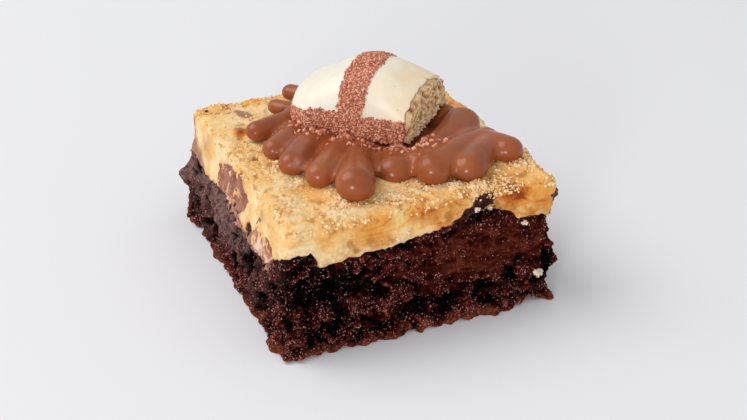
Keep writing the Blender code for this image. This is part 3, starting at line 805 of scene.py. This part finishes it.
# The dark marks: the brownie pocket, and painted shade in crevices and pits.
stain_and_shade = np.clip(humps(points, STAINS_AND_SHADE), 0, 1.5)
smudge = np.clip(humps(points, SMUDGED), 0, 1)
tuft = tufts(points, COOKIE_TUFTS[0], (2, 9, 4)) - TUFT_MIDDLE
grain = tufts(points, COOKIE_GRAINS[0], (8, 1, 6)) - GRAIN_MIDDLE
dent = np.clip(waves(points, COOKIE_DENTS[0], (1, 12, 5)) - DENT_FROM, 0, 1)
patches = SANDY_PATCHES[0] * waves(points, SANDY_PATCHES[1], (4, 4, 0))
sandy = np.clip(SANDY_MIDDLE + patches, LEAST_SANDY, 1)
smear = (folds(points * SMEAR_STRETCH, SMEARS[0], (3, 8, 1)) - FOLD_MIDDLE) * facing_left
layer = (folds(points * LAYER_STRETCH, LAYERS[0], (9, 1, 5)) - FOLD_MIDDLE) * facing_front
rough = upward * (ROUGH_TOP + ROUGH_SANDY * sandy) + ROUGH_EDGE * edge
rough += ROUGH_SIDE * flat_side
rough += ROUGH_CLUMP * clump
rough = rough * (1 - SMUDGE_CALMS * smudge) + stain_and_shade
rise = broad_crumb(points, COOKIE_BROAD) + humps(points, LUMPS)
rise += humps(points, TOP_MARKS) * upward + CLUMP_RISE * clump
rise += rough * (COOKIE_TUFTS[1] * tuft + COOKIE_GRAINS[1] * grain) - COOKIE_DENTS[1] * dent
rise += flat_side * (SMEARS[1] * smear + LAYERS[1] * layer - STAIN_DEPTH * np.clip(stain_and_shade, 0, 1))
hidden = (abs(out).max(axis=1) < TINY) | (grid[:, 2] == -1)
points = points + out * np.where(hidden, 0, rise)[:, None]
# Painted shade and light: darker in dents and streak grooves, lighter on tufts and grains.
relief_shade_and_tone = COOKIE_TONE + rough * (COOKIE_TUFT_SHADE * tuft + GRAIN_SHADE * grain)
relief_shade_and_tone -= DENT_SHADE * dent
relief_shade_and_tone += STREAK_SHADE * flat_side * (smear + layer)
above_seam = np.clip((points[:, 2] - seam - BAKED_FROM) / BAKED_BLEND, 0, 1)
uneven = TOAST_LEAST + TOAST_UNEVEN[0] * waves(points, TOAST_UNEVEN[1], (5, 0, 5))
layered = TOASTED_LAYERS * np.clip(layer - LAYER_FROM, 0, 1)
patches = np.clip(waves(points, TOASTED_PATCHES[1], (2, 2, 7)) - PATCH_FROM, 0, 1)
toast = humps(points, TOASTED) * uneven
toast += TOASTED_FRONT * facing_front * above_seam + layered
toast += TOASTED_PATCHES[0] * patches
strewn = np.clip(clump + STREWN_EDGE * edge * sandy + STREWN_TOP * upward * sandy, 0, 1)
cookie = new_piece(
    "cookie_baked",
    points,
    without_inside(grid, quads, (-1,)),
    cookie_crumb,
    {
        "relief_shade_and_tone": relief_shade_and_tone,
        "baked": np.clip(above_seam + upward + BAKED_LEFT * facing_left, 0, 1),
        "toast": toast * (1 - CLUMPS_PALER * clump),
        "crumbly": clump + CRUMBLY_EDGE * edge * sandy,
        "stain_and_shade": stain_and_shade,
        "smudge": smudge,
        "strewn": strewn * (upward > LEVEL_ENOUGH),
    },
)
close_inside(cookie)
place_piece(cookie, "cookie_crumb", "cookie_layer")


# Cookie crumbs. Pale sandy crumbs lie on the cookie's top, thickest along its broken front edge
# and beside the chocolate.
COOKIE_GRAIN = mm(0.32)
COOKIE_DENSITY = 3.6e6

cookie_grain, tree, shader = new_material("cookie_grain")
grain_colour = ramp(
    tree,
    own(tree, "tone"),
    (0.0, (0.66, 0.32, 0.11)),
    (0.5, (0.93, 0.64, 0.32)),
    (1.0, (1.0, 0.87, 0.6)),
)
fill_in(tree, shader, {"Base Color": grain_colour, "Roughness": 0.7, "Specular IOR Level": 0.15})
cookie_grains = strew(
    "cookie_crumbs",
    cookie.data,
    "strewn",
    cookie_grain,
    COOKIE_DENSITY,
    COOKIE_GRAIN,
    ROUND_FACETS,
)
place_piece(cookie_grains, "cookie_crumb")


# Pale bits. A few larger scraps of cookie stick to the torn front of the slice. Each place lies
# just in front of the slice, and the scrap sits where a line going straight back meets it.
BIT_FRONT = -45
BIT_PLACES = (
    (mm(14.8, BIT_FRONT, 28.6), mm(0.62)),
    (mm(19.7, BIT_FRONT, 27.2), mm(0.58)),
    (mm(27.9, BIT_FRONT, 22.6), mm(0.7)),
    (mm(-5.9, BIT_FRONT, 25.4), mm(0.55)),
    (mm(-3.6, BIT_FRONT, 26.7), mm(0.45)),
    (mm(31.4, BIT_FRONT, 8.6), mm(0.95)),
)
BIT_LUMPS = mm(0.55), 1.1

pale_scrap, tree, shader = new_material("pale_scrap")
fleck = speckle(tree, mm(0.5))
scrap_colour = ramp(tree, fleck, (0.35, (0.62, 0.42, 0.24)), (0.6, (0.92, 0.82, 0.64)))
fill_in(tree, shader, {"Base Color": scrap_colour, "Roughness": 0.65})


def surfaces(*pieces):
    """What a ray can hit of these pieces."""
    graph = bpy.context.evaluated_depsgraph_get()
    return [BVHTree.FromObject(piece, graph) for piece in pieces]


def first_hit(trees, start, way):
    """The nearest point of these surfaces from start along the way, or none."""
    hits = [tree.ray_cast(Vector(start), Vector(way)) for tree in trees]
    hits = [(distance, *place) for place, _, _, distance in hits if place]
    return np.array(min(hits)[1:]) if hits else None


bm = bmesh.new()
bmesh.ops.create_icosphere(bm, subdivisions=3, radius=1.0)
ball_corners = np.array([vert.co[:] for vert in bm.verts])
ball_faces = np.array([[vert.index for vert in face.verts] for face in bm.faces])
bm.free()
cut_front = surfaces(brownie, cookie)
bits = []
for start, radius in BIT_PLACES:
    middle = first_hit(cut_front, start, (0, 1, 0))
    swell = 1 + BIT_LUMPS[1] * waves(ball_corners * radius + middle, BIT_LUMPS[0])
    bits.append(middle + radius * ball_corners * swell[:, None])
bit_faces = [ball_faces + len(ball_corners) * count for count in range(len(bits))]
pale_bits = new_piece("pale_bits", np.concatenate(bits), np.concatenate(bit_faces), pale_scrap)
place_piece(pale_bits, "cookie_crumb")


# Baked-in chunks. Milk chocolate pieces in the dough, cut through with the slice, so they lie
# flush with its side, streaked by the knife. A burnt one shows in the right corner.
CHUNK_VOXEL = mm(0.33)
CHUNK_SMOOTHING = 16
CHUNK_LUMPS = mm(1.9)
CHUNK_INSET = mm(0.35)
STREAKS_BELOW, STREAKS_BLEND = mm(27), mm(6)
WELD = mm(0.001)
FLOW = 0.5

chunk_chocolate, tree, shader = new_material("chunk_chocolate")
dragged = speckle(tree, mm(2.4), 4.0, 0.62, (1.0, 0.9, 0.4))
streaks = ramp(
    tree,
    jittered(tree, graded(tree, own(tree, "streaky"), 0.0, 1.0, 0.42, 0.62), dragged),
    (0.25, (0.17, 0.045, 0.022)),
    (0.45, (0.33, 0.115, 0.065)),
    (0.6, (0.45, 0.19, 0.12)),
    (0.72, (0.86, 0.62, 0.42)),
)
finish = {
    "Base Color": streaks,
    "Roughness": 0.42,
    "Specular IOR Level": 0.25,
    "Normal": bumped(tree, dragged, mm(0.5), 0.9),
}
fill_in(tree, shader, finish)
burnt_chocolate, tree, shader = new_material("burnt_chocolate")
char = speckle(tree, mm(1.2), 4.0, 0.7)
charred = ramp(
    tree,
    char,
    (0.35, (0.02, 0.006, 0.005)),
    (0.58, (0.12, 0.04, 0.028)),
    (0.75, (0.36, 0.17, 0.1)),
)
finish = {"Base Color": charred, "Roughness": 0.55, "Normal": bumped(tree, char, mm(0.5), 0.9)}
fill_in(tree, shader, finish)

CHUNKS = {
    "chocolate_chunk_large": (chunk_chocolate, mm(0.6)),
    "chocolate_chunk_small": (chunk_chocolate, mm(0.5)),
    "chocolate_chunk_corner": (burnt_chocolate, mm(0.6)),
}


def melted(name, bm, voxel, smoothing, material):
    """A piece of all that a mesh holds, melted into one smooth skin."""
    mesh = bpy.data.meshes.new(name)
    bm.to_mesh(mesh)
    bm.free()
    piece = linked_object(name, mesh)
    melt = piece.modifiers.new("melt", "REMESH")
    melt.mode = "VOXEL"
    melt.voxel_size = voxel
    flow = piece.modifiers.new("flow", "SMOOTH")
    flow.factor = FLOW
    flow.iterations = smoothing
    settled(piece)
    piece.data.shade_smooth()
    piece.data.materials.clear()
    piece.data.materials.append(material)
    return piece


def corners_of(mesh):
    """A mesh's points and the normals at them."""
    points, normals = np.empty(len(mesh.vertices) * 3), np.empty(len(mesh.vertices) * 3)
    mesh.vertices.foreach_get("co", points)
    mesh.vertex_normals.foreach_get("vector", normals)
    return points.reshape(-1, 3), normals.reshape(-1, 3)


for node_name, (material, unevenness) in CHUNKS.items():
    bm = bmesh.new()
    bm.from_mesh(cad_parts[node_name].data)
    bmesh.ops.remove_doubles(bm, verts=bm.verts[:], dist=WELD)
    chunk = melted(f"baked_{node_name}", bm, CHUNK_VOXEL, CHUNK_SMOOTHING, material)
    points, normals = corners_of(chunk.data)
    lumps = tufts(points, CHUNK_LUMPS) - GRAIN_MIDDLE + waves(points, 2 * CHUNK_LUMPS)
    points += normals * (unevenness * lumps - CHUNK_INSET)[:, None]
    chunk.data.vertices.foreach_set("co", points.reshape(-1))
    streaky = np.clip((STREAKS_BELOW - points[:, 2]) / STREAKS_BLEND, 0, 1)
    store(chunk.data, "streaky", streaky)
    place_piece(chunk, "chunk_chocolate", node_name)


# Melted chocolate. Milk chocolate poured under the biscuit and piped outwards in thick tongues
# with round tips, set to a soft shine. One tip is rough where its skin was touched.
CHOCOLATE_VOXEL = mm(0.38)
CHOCOLATE_SMOOTHING = 9
CHOCOLATE_SINK = mm(0.25)
VALLEY_FILL = mm(0.6)
SKY_HEIGHT = 1.0
BALL_SPACING = mm(0.8)
POOL_MOUNDS = (
    (mm(5, 2, 32.6), mm(18, 18, 2.2)),
    (mm(-11, 3, 32.8), mm(10, 12, 2.8)),
    (mm(9, 15, 34), mm(14, 12, 6.4)),
    (mm(20.5, -16, 33), mm(10.5, 8.5, 4.8)),
    (mm(-4, -11, 32.8), mm(8, 8, 2.2)),
)
TONGUE_FLATNESS = 0.88
TONGUES = (
    (mm(2.6, 2.5, 2.4), mm(-6, -12.2, -13.6), mm(16, 21.4, 23.9), mm(34.4, 34.8, 34.6)),
    (mm(3.0, 3.1, 3.1), mm(-6, -13.5, -18.7, -23.3), mm(15, 14.8, 12.6, 11), mm(34, 34.4, 34.7, 34.8)),
    (mm(3.2, 3.3, 3.2), mm(-4, -13.3, -18.9, -22.6), mm(10, 8.4, 3.4, -0.4), mm(33.8, 34.2, 34.5, 34.7)),
    (mm(3.5, 3.7, 3.7), mm(-4, -13, -17.7, -21.2), mm(4, 0.7, -4.3, -9.7), mm(33.6, 34, 34.4, 34.8)),
    (mm(3.4, 3.8, 3.9), mm(-2, -9.9, -14, -16.9), mm(-2, -8.8, -14, -17.4), mm(33.4, 33.9, 34.2, 34.4)),
    (
        mm(2.8, 2.9, 3.5, 4.4, 5.0),
        mm(2, -3.7, -7.1, -9.3, -11.9),
        mm(-2, -10.2, -16.3, -21.5, -27.6),
        mm(33.2, 33.7, 34.3, 35.1, 35.8),
    ),
    (mm(1.4, 2.9, 4.6, 4.7), mm(7, 5, 2.8, 1.2), mm(-7, -13, -18.4, -21.2), mm(32.6, 32.8, 33.2, 33.4)),
    (
        mm(5.0, 4.8, 4.3, 3.8),
        mm(27.2, 20.5, 12.2, 7.2),
        mm(-5.4, -12, -18, -21.3),
        mm(34.6, 34.5, 34.4, 34.4),
    ),
    (
        mm(3.5, 4.0, 4.5, 4.7),
        mm(29, 21.6, 15.2, 8.8),
        mm(-15.5, -18.9, -22.9, -27.2),
        mm(34.4, 35, 35.4, 35.4),
    ),
    (mm(3.5, 4.0, 4.3), mm(29.2, 24.5, 17.2), mm(-19, -22.8, -29.5), mm(34.6, 35, 35)),
    (mm(3.4, 3.7, 4.0), mm(28, 29.5, 30.6), mm(-17.6, -21.2, -24.4), mm(34.8, 35, 35)),
    (mm(2.8, 3.2, 3.3), mm(14, 23, 25.6), mm(5, 5, 1), mm(34.4, 34.8, 34.8)),
    (mm(3.0, 2.9, 2.8), mm(14, 22.5, 25), mm(9, 12.5, 15.5), mm(35.4, 35.2, 34.8)),
    (mm(3.0, 3.0, 3.0), mm(12, 21, 24), mm(16, 21, 25.5), mm(35.6, 35.3, 34.8)),
    (mm(3.0, 2.9, 2.9), mm(8, 14, 15.5), mm(18, 28, 31), mm(35.6, 35.2, 34.8)),
    (mm(2.8, 2.8, 2.8), mm(4, 3, 4), mm(18, 28, 31.5), mm(35.6, 35.2, 34.8)),
    (mm(2.6, 2.6, 2.6), mm(0, -5, -7), mm(18, 27, 30.5), mm(35.4, 35.4, 35)),
)
TOUCHED = round_marks(
    1,
    (-21.2, -13.4, 36.5, 1.9, 1.0),
    (-17.6, -17.8, 37, 1.4, 0.7),
)
POCKS = round_marks(
    mm(1),
    (-21.8, -12.6, 37, 0.7, -0.7),
    (13.8, -23.2, 38.4, 1.1, -0.5),
    (16.5, -17, 38.6, 0.9, -0.3),
)
TOUCHED_GRAIN = mm(0.9), mm(0.3)

milk_chocolate, tree, shader = new_material("milk_chocolate")
cloud = speckle(tree, mm(7), 3.0, 0.55)
touched = own(tree, "touched")
smooth_colour = ramp(tree, cloud, (0.3, (0.27, 0.062, 0.016)), (0.7, (0.38, 0.102, 0.032)))
dulled = graded(tree, touched, 0.2, 1.0, 0.0, 0.6)
finish = {
    "Base Color": mixed(tree, dulled, smooth_colour, (0.45, 0.22, 0.17, 1)),
    "Roughness": graded(tree, touched, 0.1, 0.8, 0.25, 0.6),
    "Specular IOR Level": 0.34,
    "Normal": bumped(tree, speckle(tree, mm(2.5), 2.0), mm(0.12), 0.35),
}
fill_in(tree, shader, finish)


def tongue_balls(bm, radii, path):
    """A chain of overlapping balls along the path, its radius changing from end to end."""
    points = np.array(path).T
    steps = np.linalg.norm(np.diff(points, axis=0), axis=1)
    reached = np.concatenate([[0], np.cumsum(steps)])
    for distance in np.linspace(0, reached[-1], int(reached[-1] / BALL_SPACING) + 2):
        place = [np.interp(distance, reached, points[:, axis]) for axis in range(3)]
        radius = np.interp(distance / reached[-1], np.linspace(0, 1, len(radii)), radii)
        ball = Matrix.Translation(place) @ Matrix.Diagonal((1, 1, TONGUE_FLATNESS, 1))
        bmesh.ops.create_icosphere(bm, subdivisions=3, radius=float(radius), matrix=ball)


bm = bmesh.new()
for place, size in POOL_MOUNDS:
    mound = Matrix.Translation(place) @ Matrix.Diagonal((*(size + VALLEY_FILL), 1))
    bmesh.ops.create_icosphere(bm, subdivisions=5, radius=1.0, matrix=mound)
for radii, *path in TONGUES:
    tongue_balls(bm, radii + VALLEY_FILL, path)
chocolate = melted("chocolate_poured", bm, CHOCOLATE_VOXEL, CHOCOLATE_SMOOTHING, milk_chocolate)
points, normals = corners_of(chocolate.data)
touched = np.clip(humps(points, TOUCHED), 0, 1)
bubbles = tufts(points, TOUCHED_GRAIN[0]) - GRAIN_MIDDLE
rise = humps(points, POCKS) + TOUCHED_GRAIN[1] * touched * bubbles - VALLEY_FILL
points += normals * rise[:, None]
cookie_top = surfaces(cookie)
for point in points:
    under = first_hit(cookie_top, (point[0], point[1], SKY_HEIGHT), (0, 0, -1))
    if under is not None:
        point[2] = max(point[2], under[2] - CHOCOLATE_SINK)
chocolate.data.vertices.foreach_set("co", points.reshape(-1))
store(chocolate.data, "touched", touched)
place_piece(chocolate, "milk_chocolate", "chocolate_drizzle")


# Biscuit coat. Half of a small domed wafer biscuit lies on the chocolate, broken off at its right
# end. Its skin is smooth white chocolate, thick and dull, with reddish cocoa crumb pressed on in
# a rim round the foot and in one band over the middle. Towards the broken end the skin turns a
# creamy tan: partly its own tint, partly painted shade on the part that faces away from the light.
BISCUIT_PLACE = mm(5.7, 5.8, 37.1)
BISCUIT_ALONG = (0.715, -0.699, -0.021)
BISCUIT_ACROSS = (0.693, 0.705, 0.152)
BISCUIT_WIDTH = mm(24.0)
BISCUIT_ENDS = mm(-19.2, 13.8)
BREAK_SLANT = mm(2.8)
BREAK_REACH = mm(9)
CORNER_ROUND = mm(7.4)
CROWN = (
    mm(-19.2, -16.5, -13, -9, -5, -1, 2.5, 6, 10, 14, 17.5),
    mm(5.0, 7.2, 9.2, 11.4, 13.6, 15.2, 15.7, 15.1, 13.5, 11.3, 9.0),
)
CROWN_SHAPE = 8 / 3, 0.4
CROWN_DEGREE = 6
CROWN_LEAN = mm(28)
COAT_THICKNESS = mm(1.2)
COAT_CELLS = (150, 150)
COAT_TURN = 0.45
COAT_SPREAD = 0.75
COAT_RAGGED = mm(0.9), mm(2.2)
COAT_UNEVEN = mm(0.12), mm(4)
BREAK_FALLOFF = 20
RIM_HEIGHT = mm(-19, -15, -9, 14), mm(3.4, 4.6, 6.3, 6.6)
BAND_LEFT = mm(-4.1)
BAND_RIGHT = mm(-12, -6, 0, 12), mm(3.1, 3.9, 4.6, 4.8)
CRUMB_LIFT = mm(0.3)
CRUMB_RAGGED = mm(0.6), mm(1.1)
CREAMY_FROM, CREAMY_BLEND = mm(3), mm(8)
CREAMY_UNEVEN = 0.4, mm(5)

along = Vector(BISCUIT_ALONG).normalized()
up = along.cross(Vector(BISCUIT_ACROSS)).normalized()
biscuit_axes = np.array(Matrix((along, up.cross(along), up)))
crown_curve = np.polyfit(*CROWN, CROWN_DEGREE)


def half_width(u, inset=0.0):
    """Half the biscuit's width at u: full, then rounding in at the left end's corners."""
    radius = CORNER_ROUND - inset
    into = np.clip(BISCUIT_ENDS[0] + CORNER_ROUND - u, 0, radius)
    return BISCUIT_WIDTH / 2 - inset - (radius - np.sqrt(radius**2 - into**2))


def slanted(u, v):
    """u moved by the slant of the broken end, which fades out over its reach."""
    near = np.clip((u - BISCUIT_ENDS[1]) / BREAK_REACH + 1, 0, 1)
    return u + near * BREAK_SLANT * (v / BISCUIT_WIDTH + 0.5)


def crown_height(u, across, inset=0.0):
    """Height of the domed skin at u, and at a share of the half width across."""
    flat, full = CROWN_SHAPE
    bow = np.polyval(crown_curve, u) - inset
    return bow * (1 - np.clip(abs(across), 0, 1) ** flat) ** full


def from_biscuit(points):
    """Points in the biscuit's own axes, brought into the slice's."""
    return points @ biscuit_axes + BISCUIT_PLACE


def to_biscuit(points):
    """Points of the slice in the biscuit's own axes."""
    return (points - BISCUIT_PLACE) @ biscuit_axes.T


white_coat, tree, shader = new_material("white_coat")
cloud = speckle(tree, mm(6), 2.0)
dots = speckle(tree, mm(0.9), 1.0)
ivory = ramp(tree, cloud, (0.3, (0.84, 0.78, 0.62)), (0.7, (0.88, 0.84, 0.72)))
# The tan towards the broken end: partly cream tint, partly painted shade.
cream = ramp(tree, cloud, (0.3, (0.9, 0.68, 0.42)), (0.7, (0.92, 0.77, 0.56)))
skin_colour = mixed(tree, graded(tree, own(tree, "creamy_and_shaded"), 0.0, 1.0, 0.0, 0.8), ivory, cream)
dotted = mixed(tree, graded(tree, dots, 0.77, 0.8), skin_colour, (0.3, 0.13, 0.07, 1))
finish = {
    "Base Color": mixed(tree, own(tree, "crumbed"), dotted, (0.36, 0.13, 0.085, 1)),
    "Roughness": 0.38,
    "Subsurface Weight": 0.15,
    "Subsurface Scale": mm(1.0),
    "Normal": bumped(tree, speckle(tree, mm(1.8), 2.0), mm(0.12), 0.3),
}
fill_in(tree, shader, finish)

rows, columns = COAT_CELLS[1] + 1, COAT_CELLS[0] + 1
share, row = np.meshgrid(np.linspace(0, 1, columns), np.linspace(-1, 1, rows), indexing="ij")
share, row = share.reshape(-1), row.reshape(-1)
spin = math.pi / 2 * (1 + COAT_TURN * row + (1 - COAT_TURN) * np.sin(row * math.pi / 2))
across = -np.copysign(abs(np.cos(spin)) ** COAT_SPREAD, np.cos(spin))
u = BISCUIT_ENDS[0] + (BISCUIT_ENDS[1] - BISCUIT_ENDS[0]) * share
v = across * half_width(u)
height = crown_height(u, across)
skin = np.stack([u, v, height], 1)
wander = CRUMB_RAGGED[0] * waves(skin, CRUMB_RAGGED[1])
in_rim = np.interp(u, *RIM_HEIGHT) + wander - height
in_band = np.minimum(u - BAND_LEFT, np.interp(v, *BAND_RIGHT) - u) + wander
crumbed = np.clip(np.maximum(in_rim, in_band) / CRUMB_LIFT, 0, 1)
# Creamier towards the broken end: partly the skin's tint, partly painted shade where it faces away from
# the light.
patches = CREAMY_UNEVEN[0] * waves(skin, CREAMY_UNEVEN[1])
creamy_and_shaded = np.clip((u - CREAMY_FROM) / CREAMY_BLEND + patches, 0, 1)
outward = np.stack([0 * u, v / BISCUIT_WIDTH, height / CROWN_LEAN], 1)
outward /= np.maximum(np.linalg.norm(outward, axis=1, keepdims=True), TINY)
break_line = np.stack([0 * u, v, height], 1)
torn = COAT_RAGGED[0] * waves(break_line, COAT_RAGGED[1], (0, 0, 2)) * share**BREAK_FALLOFF
skin = np.stack([slanted(u, v) + torn, v, height], 1)
uneven = COAT_UNEVEN[0] * waves(skin, COAT_UNEVEN[1])
skin += outward * (CRUMB_LIFT * crumbed + uneven)[:, None]
skin[abs(row) == 1, 2] = 0
index = np.arange(columns * rows).reshape(columns, rows)
quads = np.stack([index[:-1, :-1], index[1:, :-1], index[1:, 1:], index[:-1, 1:]], -1)
left_end = [index[0].tolist()]
coat = new_piece(
    "biscuit_coat",
    from_biscuit(skin),
    quads.reshape(-1, 4).tolist() + left_end,
    white_coat,
    {"crumbed": crumbed, "creamy_and_shaded": creamy_and_shaded},
)
coat_skin = coat.data.copy()
wall = coat.modifiers.new("wall", "SOLIDIFY")
wall.thickness = COAT_THICKNESS
wall.offset = -1.0
settled(coat)
place_piece(coat, "white_coat", "wafer_coating")


# Cocoa crumb. Coarse reddish cocoa and biscuit crumb stuck on the coat's rim and band, a grain
# about half a millimetre across, close enough to hide the skin under it.
COCOA_GRAIN = mm(0.26)
COCOA_DENSITY = 7.5e6

cocoa_grain, tree, shader = new_material("cocoa_grain")
grain_colour = ramp(
    tree,
    own(tree, "tone"),
    (0.0, (0.34, 0.08, 0.04)),
    (0.5, (0.66, 0.25, 0.145)),
    (1.0, (0.92, 0.54, 0.38)),
)
fill_in(tree, shader, {"Base Color": grain_colour, "Roughness": 0.72, "Specular IOR Level": 0.15})
cocoa_grains = strew(
    "cocoa_grains",
    coat_skin,
    "crumbed",
    cocoa_grain,
    COCOA_DENSITY,
    COCOA_GRAIN,
    ROUND_FACETS,
)
place_piece(cocoa_grains, "white_coat")


# Fallen cocoa crumb. Some of it has dropped on the chocolate in front of the biscuit and beside
# its broken end.
FALLEN_GRAIN = mm(0.48)
FALLEN_DENSITY = 2.2e6
FALLEN_SPREAD = 0.5, 1.8
FALLEN_PATCHES = 1.5, mm(2.4)
FALLEN_MIDDLE, FALLEN_IN_FRONT = 0.5, 0.5
FRONT_DROP = mm(-14.5), mm(2.6), mm(17)
END_DROP = mm(17.5, -13.5), mm(4.6)

fallen_on = chocolate.data.copy()
points, normals = corners_of(fallen_on)
u, v, height = to_biscuit(points).T
line, width, reach = FRONT_DROP
in_front = np.exp(-(((v - line) / width) ** 2)) * (abs(u) < reach)
(end_u, end_v), width = END_DROP
beside_end = np.exp(-(((u - end_u) / width) ** 2) - ((v - end_v) / width) ** 2)
patches = FALLEN_PATCHES[0] * waves(points, FALLEN_PATCHES[1])
patchy = np.clip(FALLEN_MIDDLE + patches, 0, 1)
fallen = (FALLEN_IN_FRONT * in_front + beside_end) * patchy * (normals[:, 2] > LEVEL_ENOUGH)
store(fallen_on, "fallen", fallen)
fallen_grains = strew(
    "cocoa_fallen",
    fallen_on,
    "fallen",
    cocoa_grain,
    FALLEN_DENSITY,
    FALLEN_GRAIN,
    ROUND_FACETS,
    FALLEN_SPREAD,
)
place_piece(fallen_grains, "white_coat")


# Biscuit inside. Behind the broken end the coat holds a pale nut cream, wrinkled where it tore,
# on a thin baked wafer plate. The cream's colour has painted shade between its fold ridges.
CORE_INSET = mm(1.25)
CREAM_CELLS = (40, 80, 50)
PLATE_CELLS = (40, 70, 6)
CREAM_HEIGHTS = mm(1.9, 30)
PLATE_HEIGHTS = mm(0.2, 1.7)
LEAST_THICKNESS = mm(0.9)
CREAM_OVERHANG = mm(0.8)
PLATE_OVERHANG = mm(1.3)
CREAM_FOLDS = mm(2.2), mm(0.9)
FOLD_BEND = mm(0.4), mm(1.6)
CREAM_FRAYED = 0.5, mm(0.9)
RIDGE_MIDDLE = 0.6
CREAM_TONE, CREAM_SHADE = 0.25, 0.5

biscuit_cream, tree, shader = new_material("biscuit_cream")
mottle = speckle(tree, mm(1.1))
# Painted shade: the cream is darker between its fold ridges, lighter on them.
cream_colour = ramp(
    tree,
    jittered(tree, own(tree, "relief_shade_and_tone"), mottle),
    (0.15, (0.33, 0.14, 0.04)),
    (0.45, (0.68, 0.41, 0.18)),
    (0.9, (0.92, 0.7, 0.41)),
)
grit = speckle(tree, mm(0.5))
finish = {"Base Color": cream_colour, "Roughness": 0.5, "Normal": bumped(tree, grit, mm(0.2), 0.6)}
fill_in(tree, shader, finish)
wafer_baked, tree, shader = new_material("wafer_baked")
crisp = speckle(tree, mm(0.8))
crisp_colour = ramp(tree, crisp, (0.3, (0.5, 0.26, 0.1)), (0.7, (0.95, 0.74, 0.46)))
finish = {"Base Color": crisp_colour, "Roughness": 0.7, "Normal": bumped(tree, crisp, mm(0.3), 0.8)}
fill_in(tree, shader, finish)


def core_piece(name, cells, overhang, heights, material):
    """A filling inside the coat between two heights, torn and folded where it sticks out."""
    grid, quads = box_grid(cells)
    s, t, w = grid.T
    low, high = heights
    start = BISCUIT_ENDS[0] + CORE_INSET
    u = start + (BISCUIT_ENDS[1] - start) * (s + 1) / 2
    v = t * half_width(u, CORE_INSET)
    roof = np.maximum(low + LEAST_THICKNESS, np.minimum(high, crown_height(u, t, CORE_INSET)))
    height = low + (roof - low) * (w + 1) / 2
    end = np.stack([0 * u, v, height], 1)
    bent = end + FOLD_BEND[0] * waves(end, FOLD_BEND[1], (3, 3, 3))[:, None]
    ridges = folds(bent, CREAM_FOLDS[0], (7, 7, 1))
    ridges += CREAM_FRAYED[0] * waves(end, CREAM_FRAYED[1], (1, 5, 2))
    torn = np.where(s == 1, overhang + CREAM_FOLDS[1] * (ridges - RIDGE_MIDDLE), 0)
    points = from_biscuit(np.stack([slanted(u, v) + torn, v, height], 1))
    # Painted shade from the folds: high on a ridge, low between ridges.
    relief_shade_and_tone = CREAM_TONE + CREAM_SHADE * ridges
    return new_piece(name, points, quads, material, {"relief_shade_and_tone": relief_shade_and_tone})


filling = core_piece("biscuit_filling", CREAM_CELLS, CREAM_OVERHANG, CREAM_HEIGHTS, biscuit_cream)
place_piece(filling, "biscuit_cream", "wafer_cream")
wafer = core_piece("biscuit_wafer", PLATE_CELLS, PLATE_OVERHANG, PLATE_HEIGHTS, wafer_baked)
place_piece(wafer, "wafer_plate", "wafer_plate")


# Surface and light. A pale seamless table, one large soft key from behind on the left, a low
# soft light in front that gives the chocolate its small highlights, and a mild sky all round.
FLOOR_SIZE = 6.0
TABLE_COLOUR = (0.83, 0.83, 0.855, 1)
LIT_PLACE = (0, 0, 0.02)
KEY_PLACE, KEY_SIZE, KEY_POWER = (-0.77, 0.6, 1.25), 1.25, 12.2
LOW_PLACE, LOW_SIZE, LOW_POWER = (-0.52, -0.61, 0.2), 0.17, 2.0
SKY_COLOUR, SKY_STRENGTH = (0.98, 0.985, 1.0, 1), 0.6

edge = FLOOR_SIZE / 2
floor_mesh = bpy.data.meshes.new("floor")
floor_corners = [(-edge, -edge, 0), (edge, -edge, 0), (edge, edge, 0), (-edge, edge, 0)]
floor_mesh.from_pydata(floor_corners, [], [(0, 1, 2, 3)])
floor = linked_object("floor", floor_mesh)
table_top, tree, shader = new_material("table_top")
finish = {"Base Color": TABLE_COLOUR, "Roughness": 0.85, "Specular IOR Level": 0.1}
fill_in(tree, shader, finish)
floor_mesh.materials.append(table_top)


def soft_light(name, place, size, power):
    """A round area light that faces the slice."""
    lamp = bpy.data.lights.new(name, "AREA")
    lamp.shape = "DISK"
    lamp.size = size
    lamp.energy = power
    made = linked_object(name, lamp)
    facing = (Vector(LIT_PLACE) - Vector(place)).to_track_quat("-Z", "Y").to_matrix().to_4x4()
    made.matrix_world = Matrix.Translation(place) @ facing


soft_light("key_light", KEY_PLACE, KEY_SIZE, KEY_POWER)
soft_light("low_light", LOW_PLACE, LOW_SIZE, LOW_POWER)
world = bpy.data.worlds.new("studio")
bpy.context.scene.world = world
world.use_nodes = True
sky = world.node_tree.nodes["Background"]
fill_in(world.node_tree, sky, {"Color": SKY_COLOUR, "Strength": SKY_STRENGTH})
bpy.context.scene.view_settings.view_transform = "Standard"
bpy.context.scene.view_settings.look = "None"
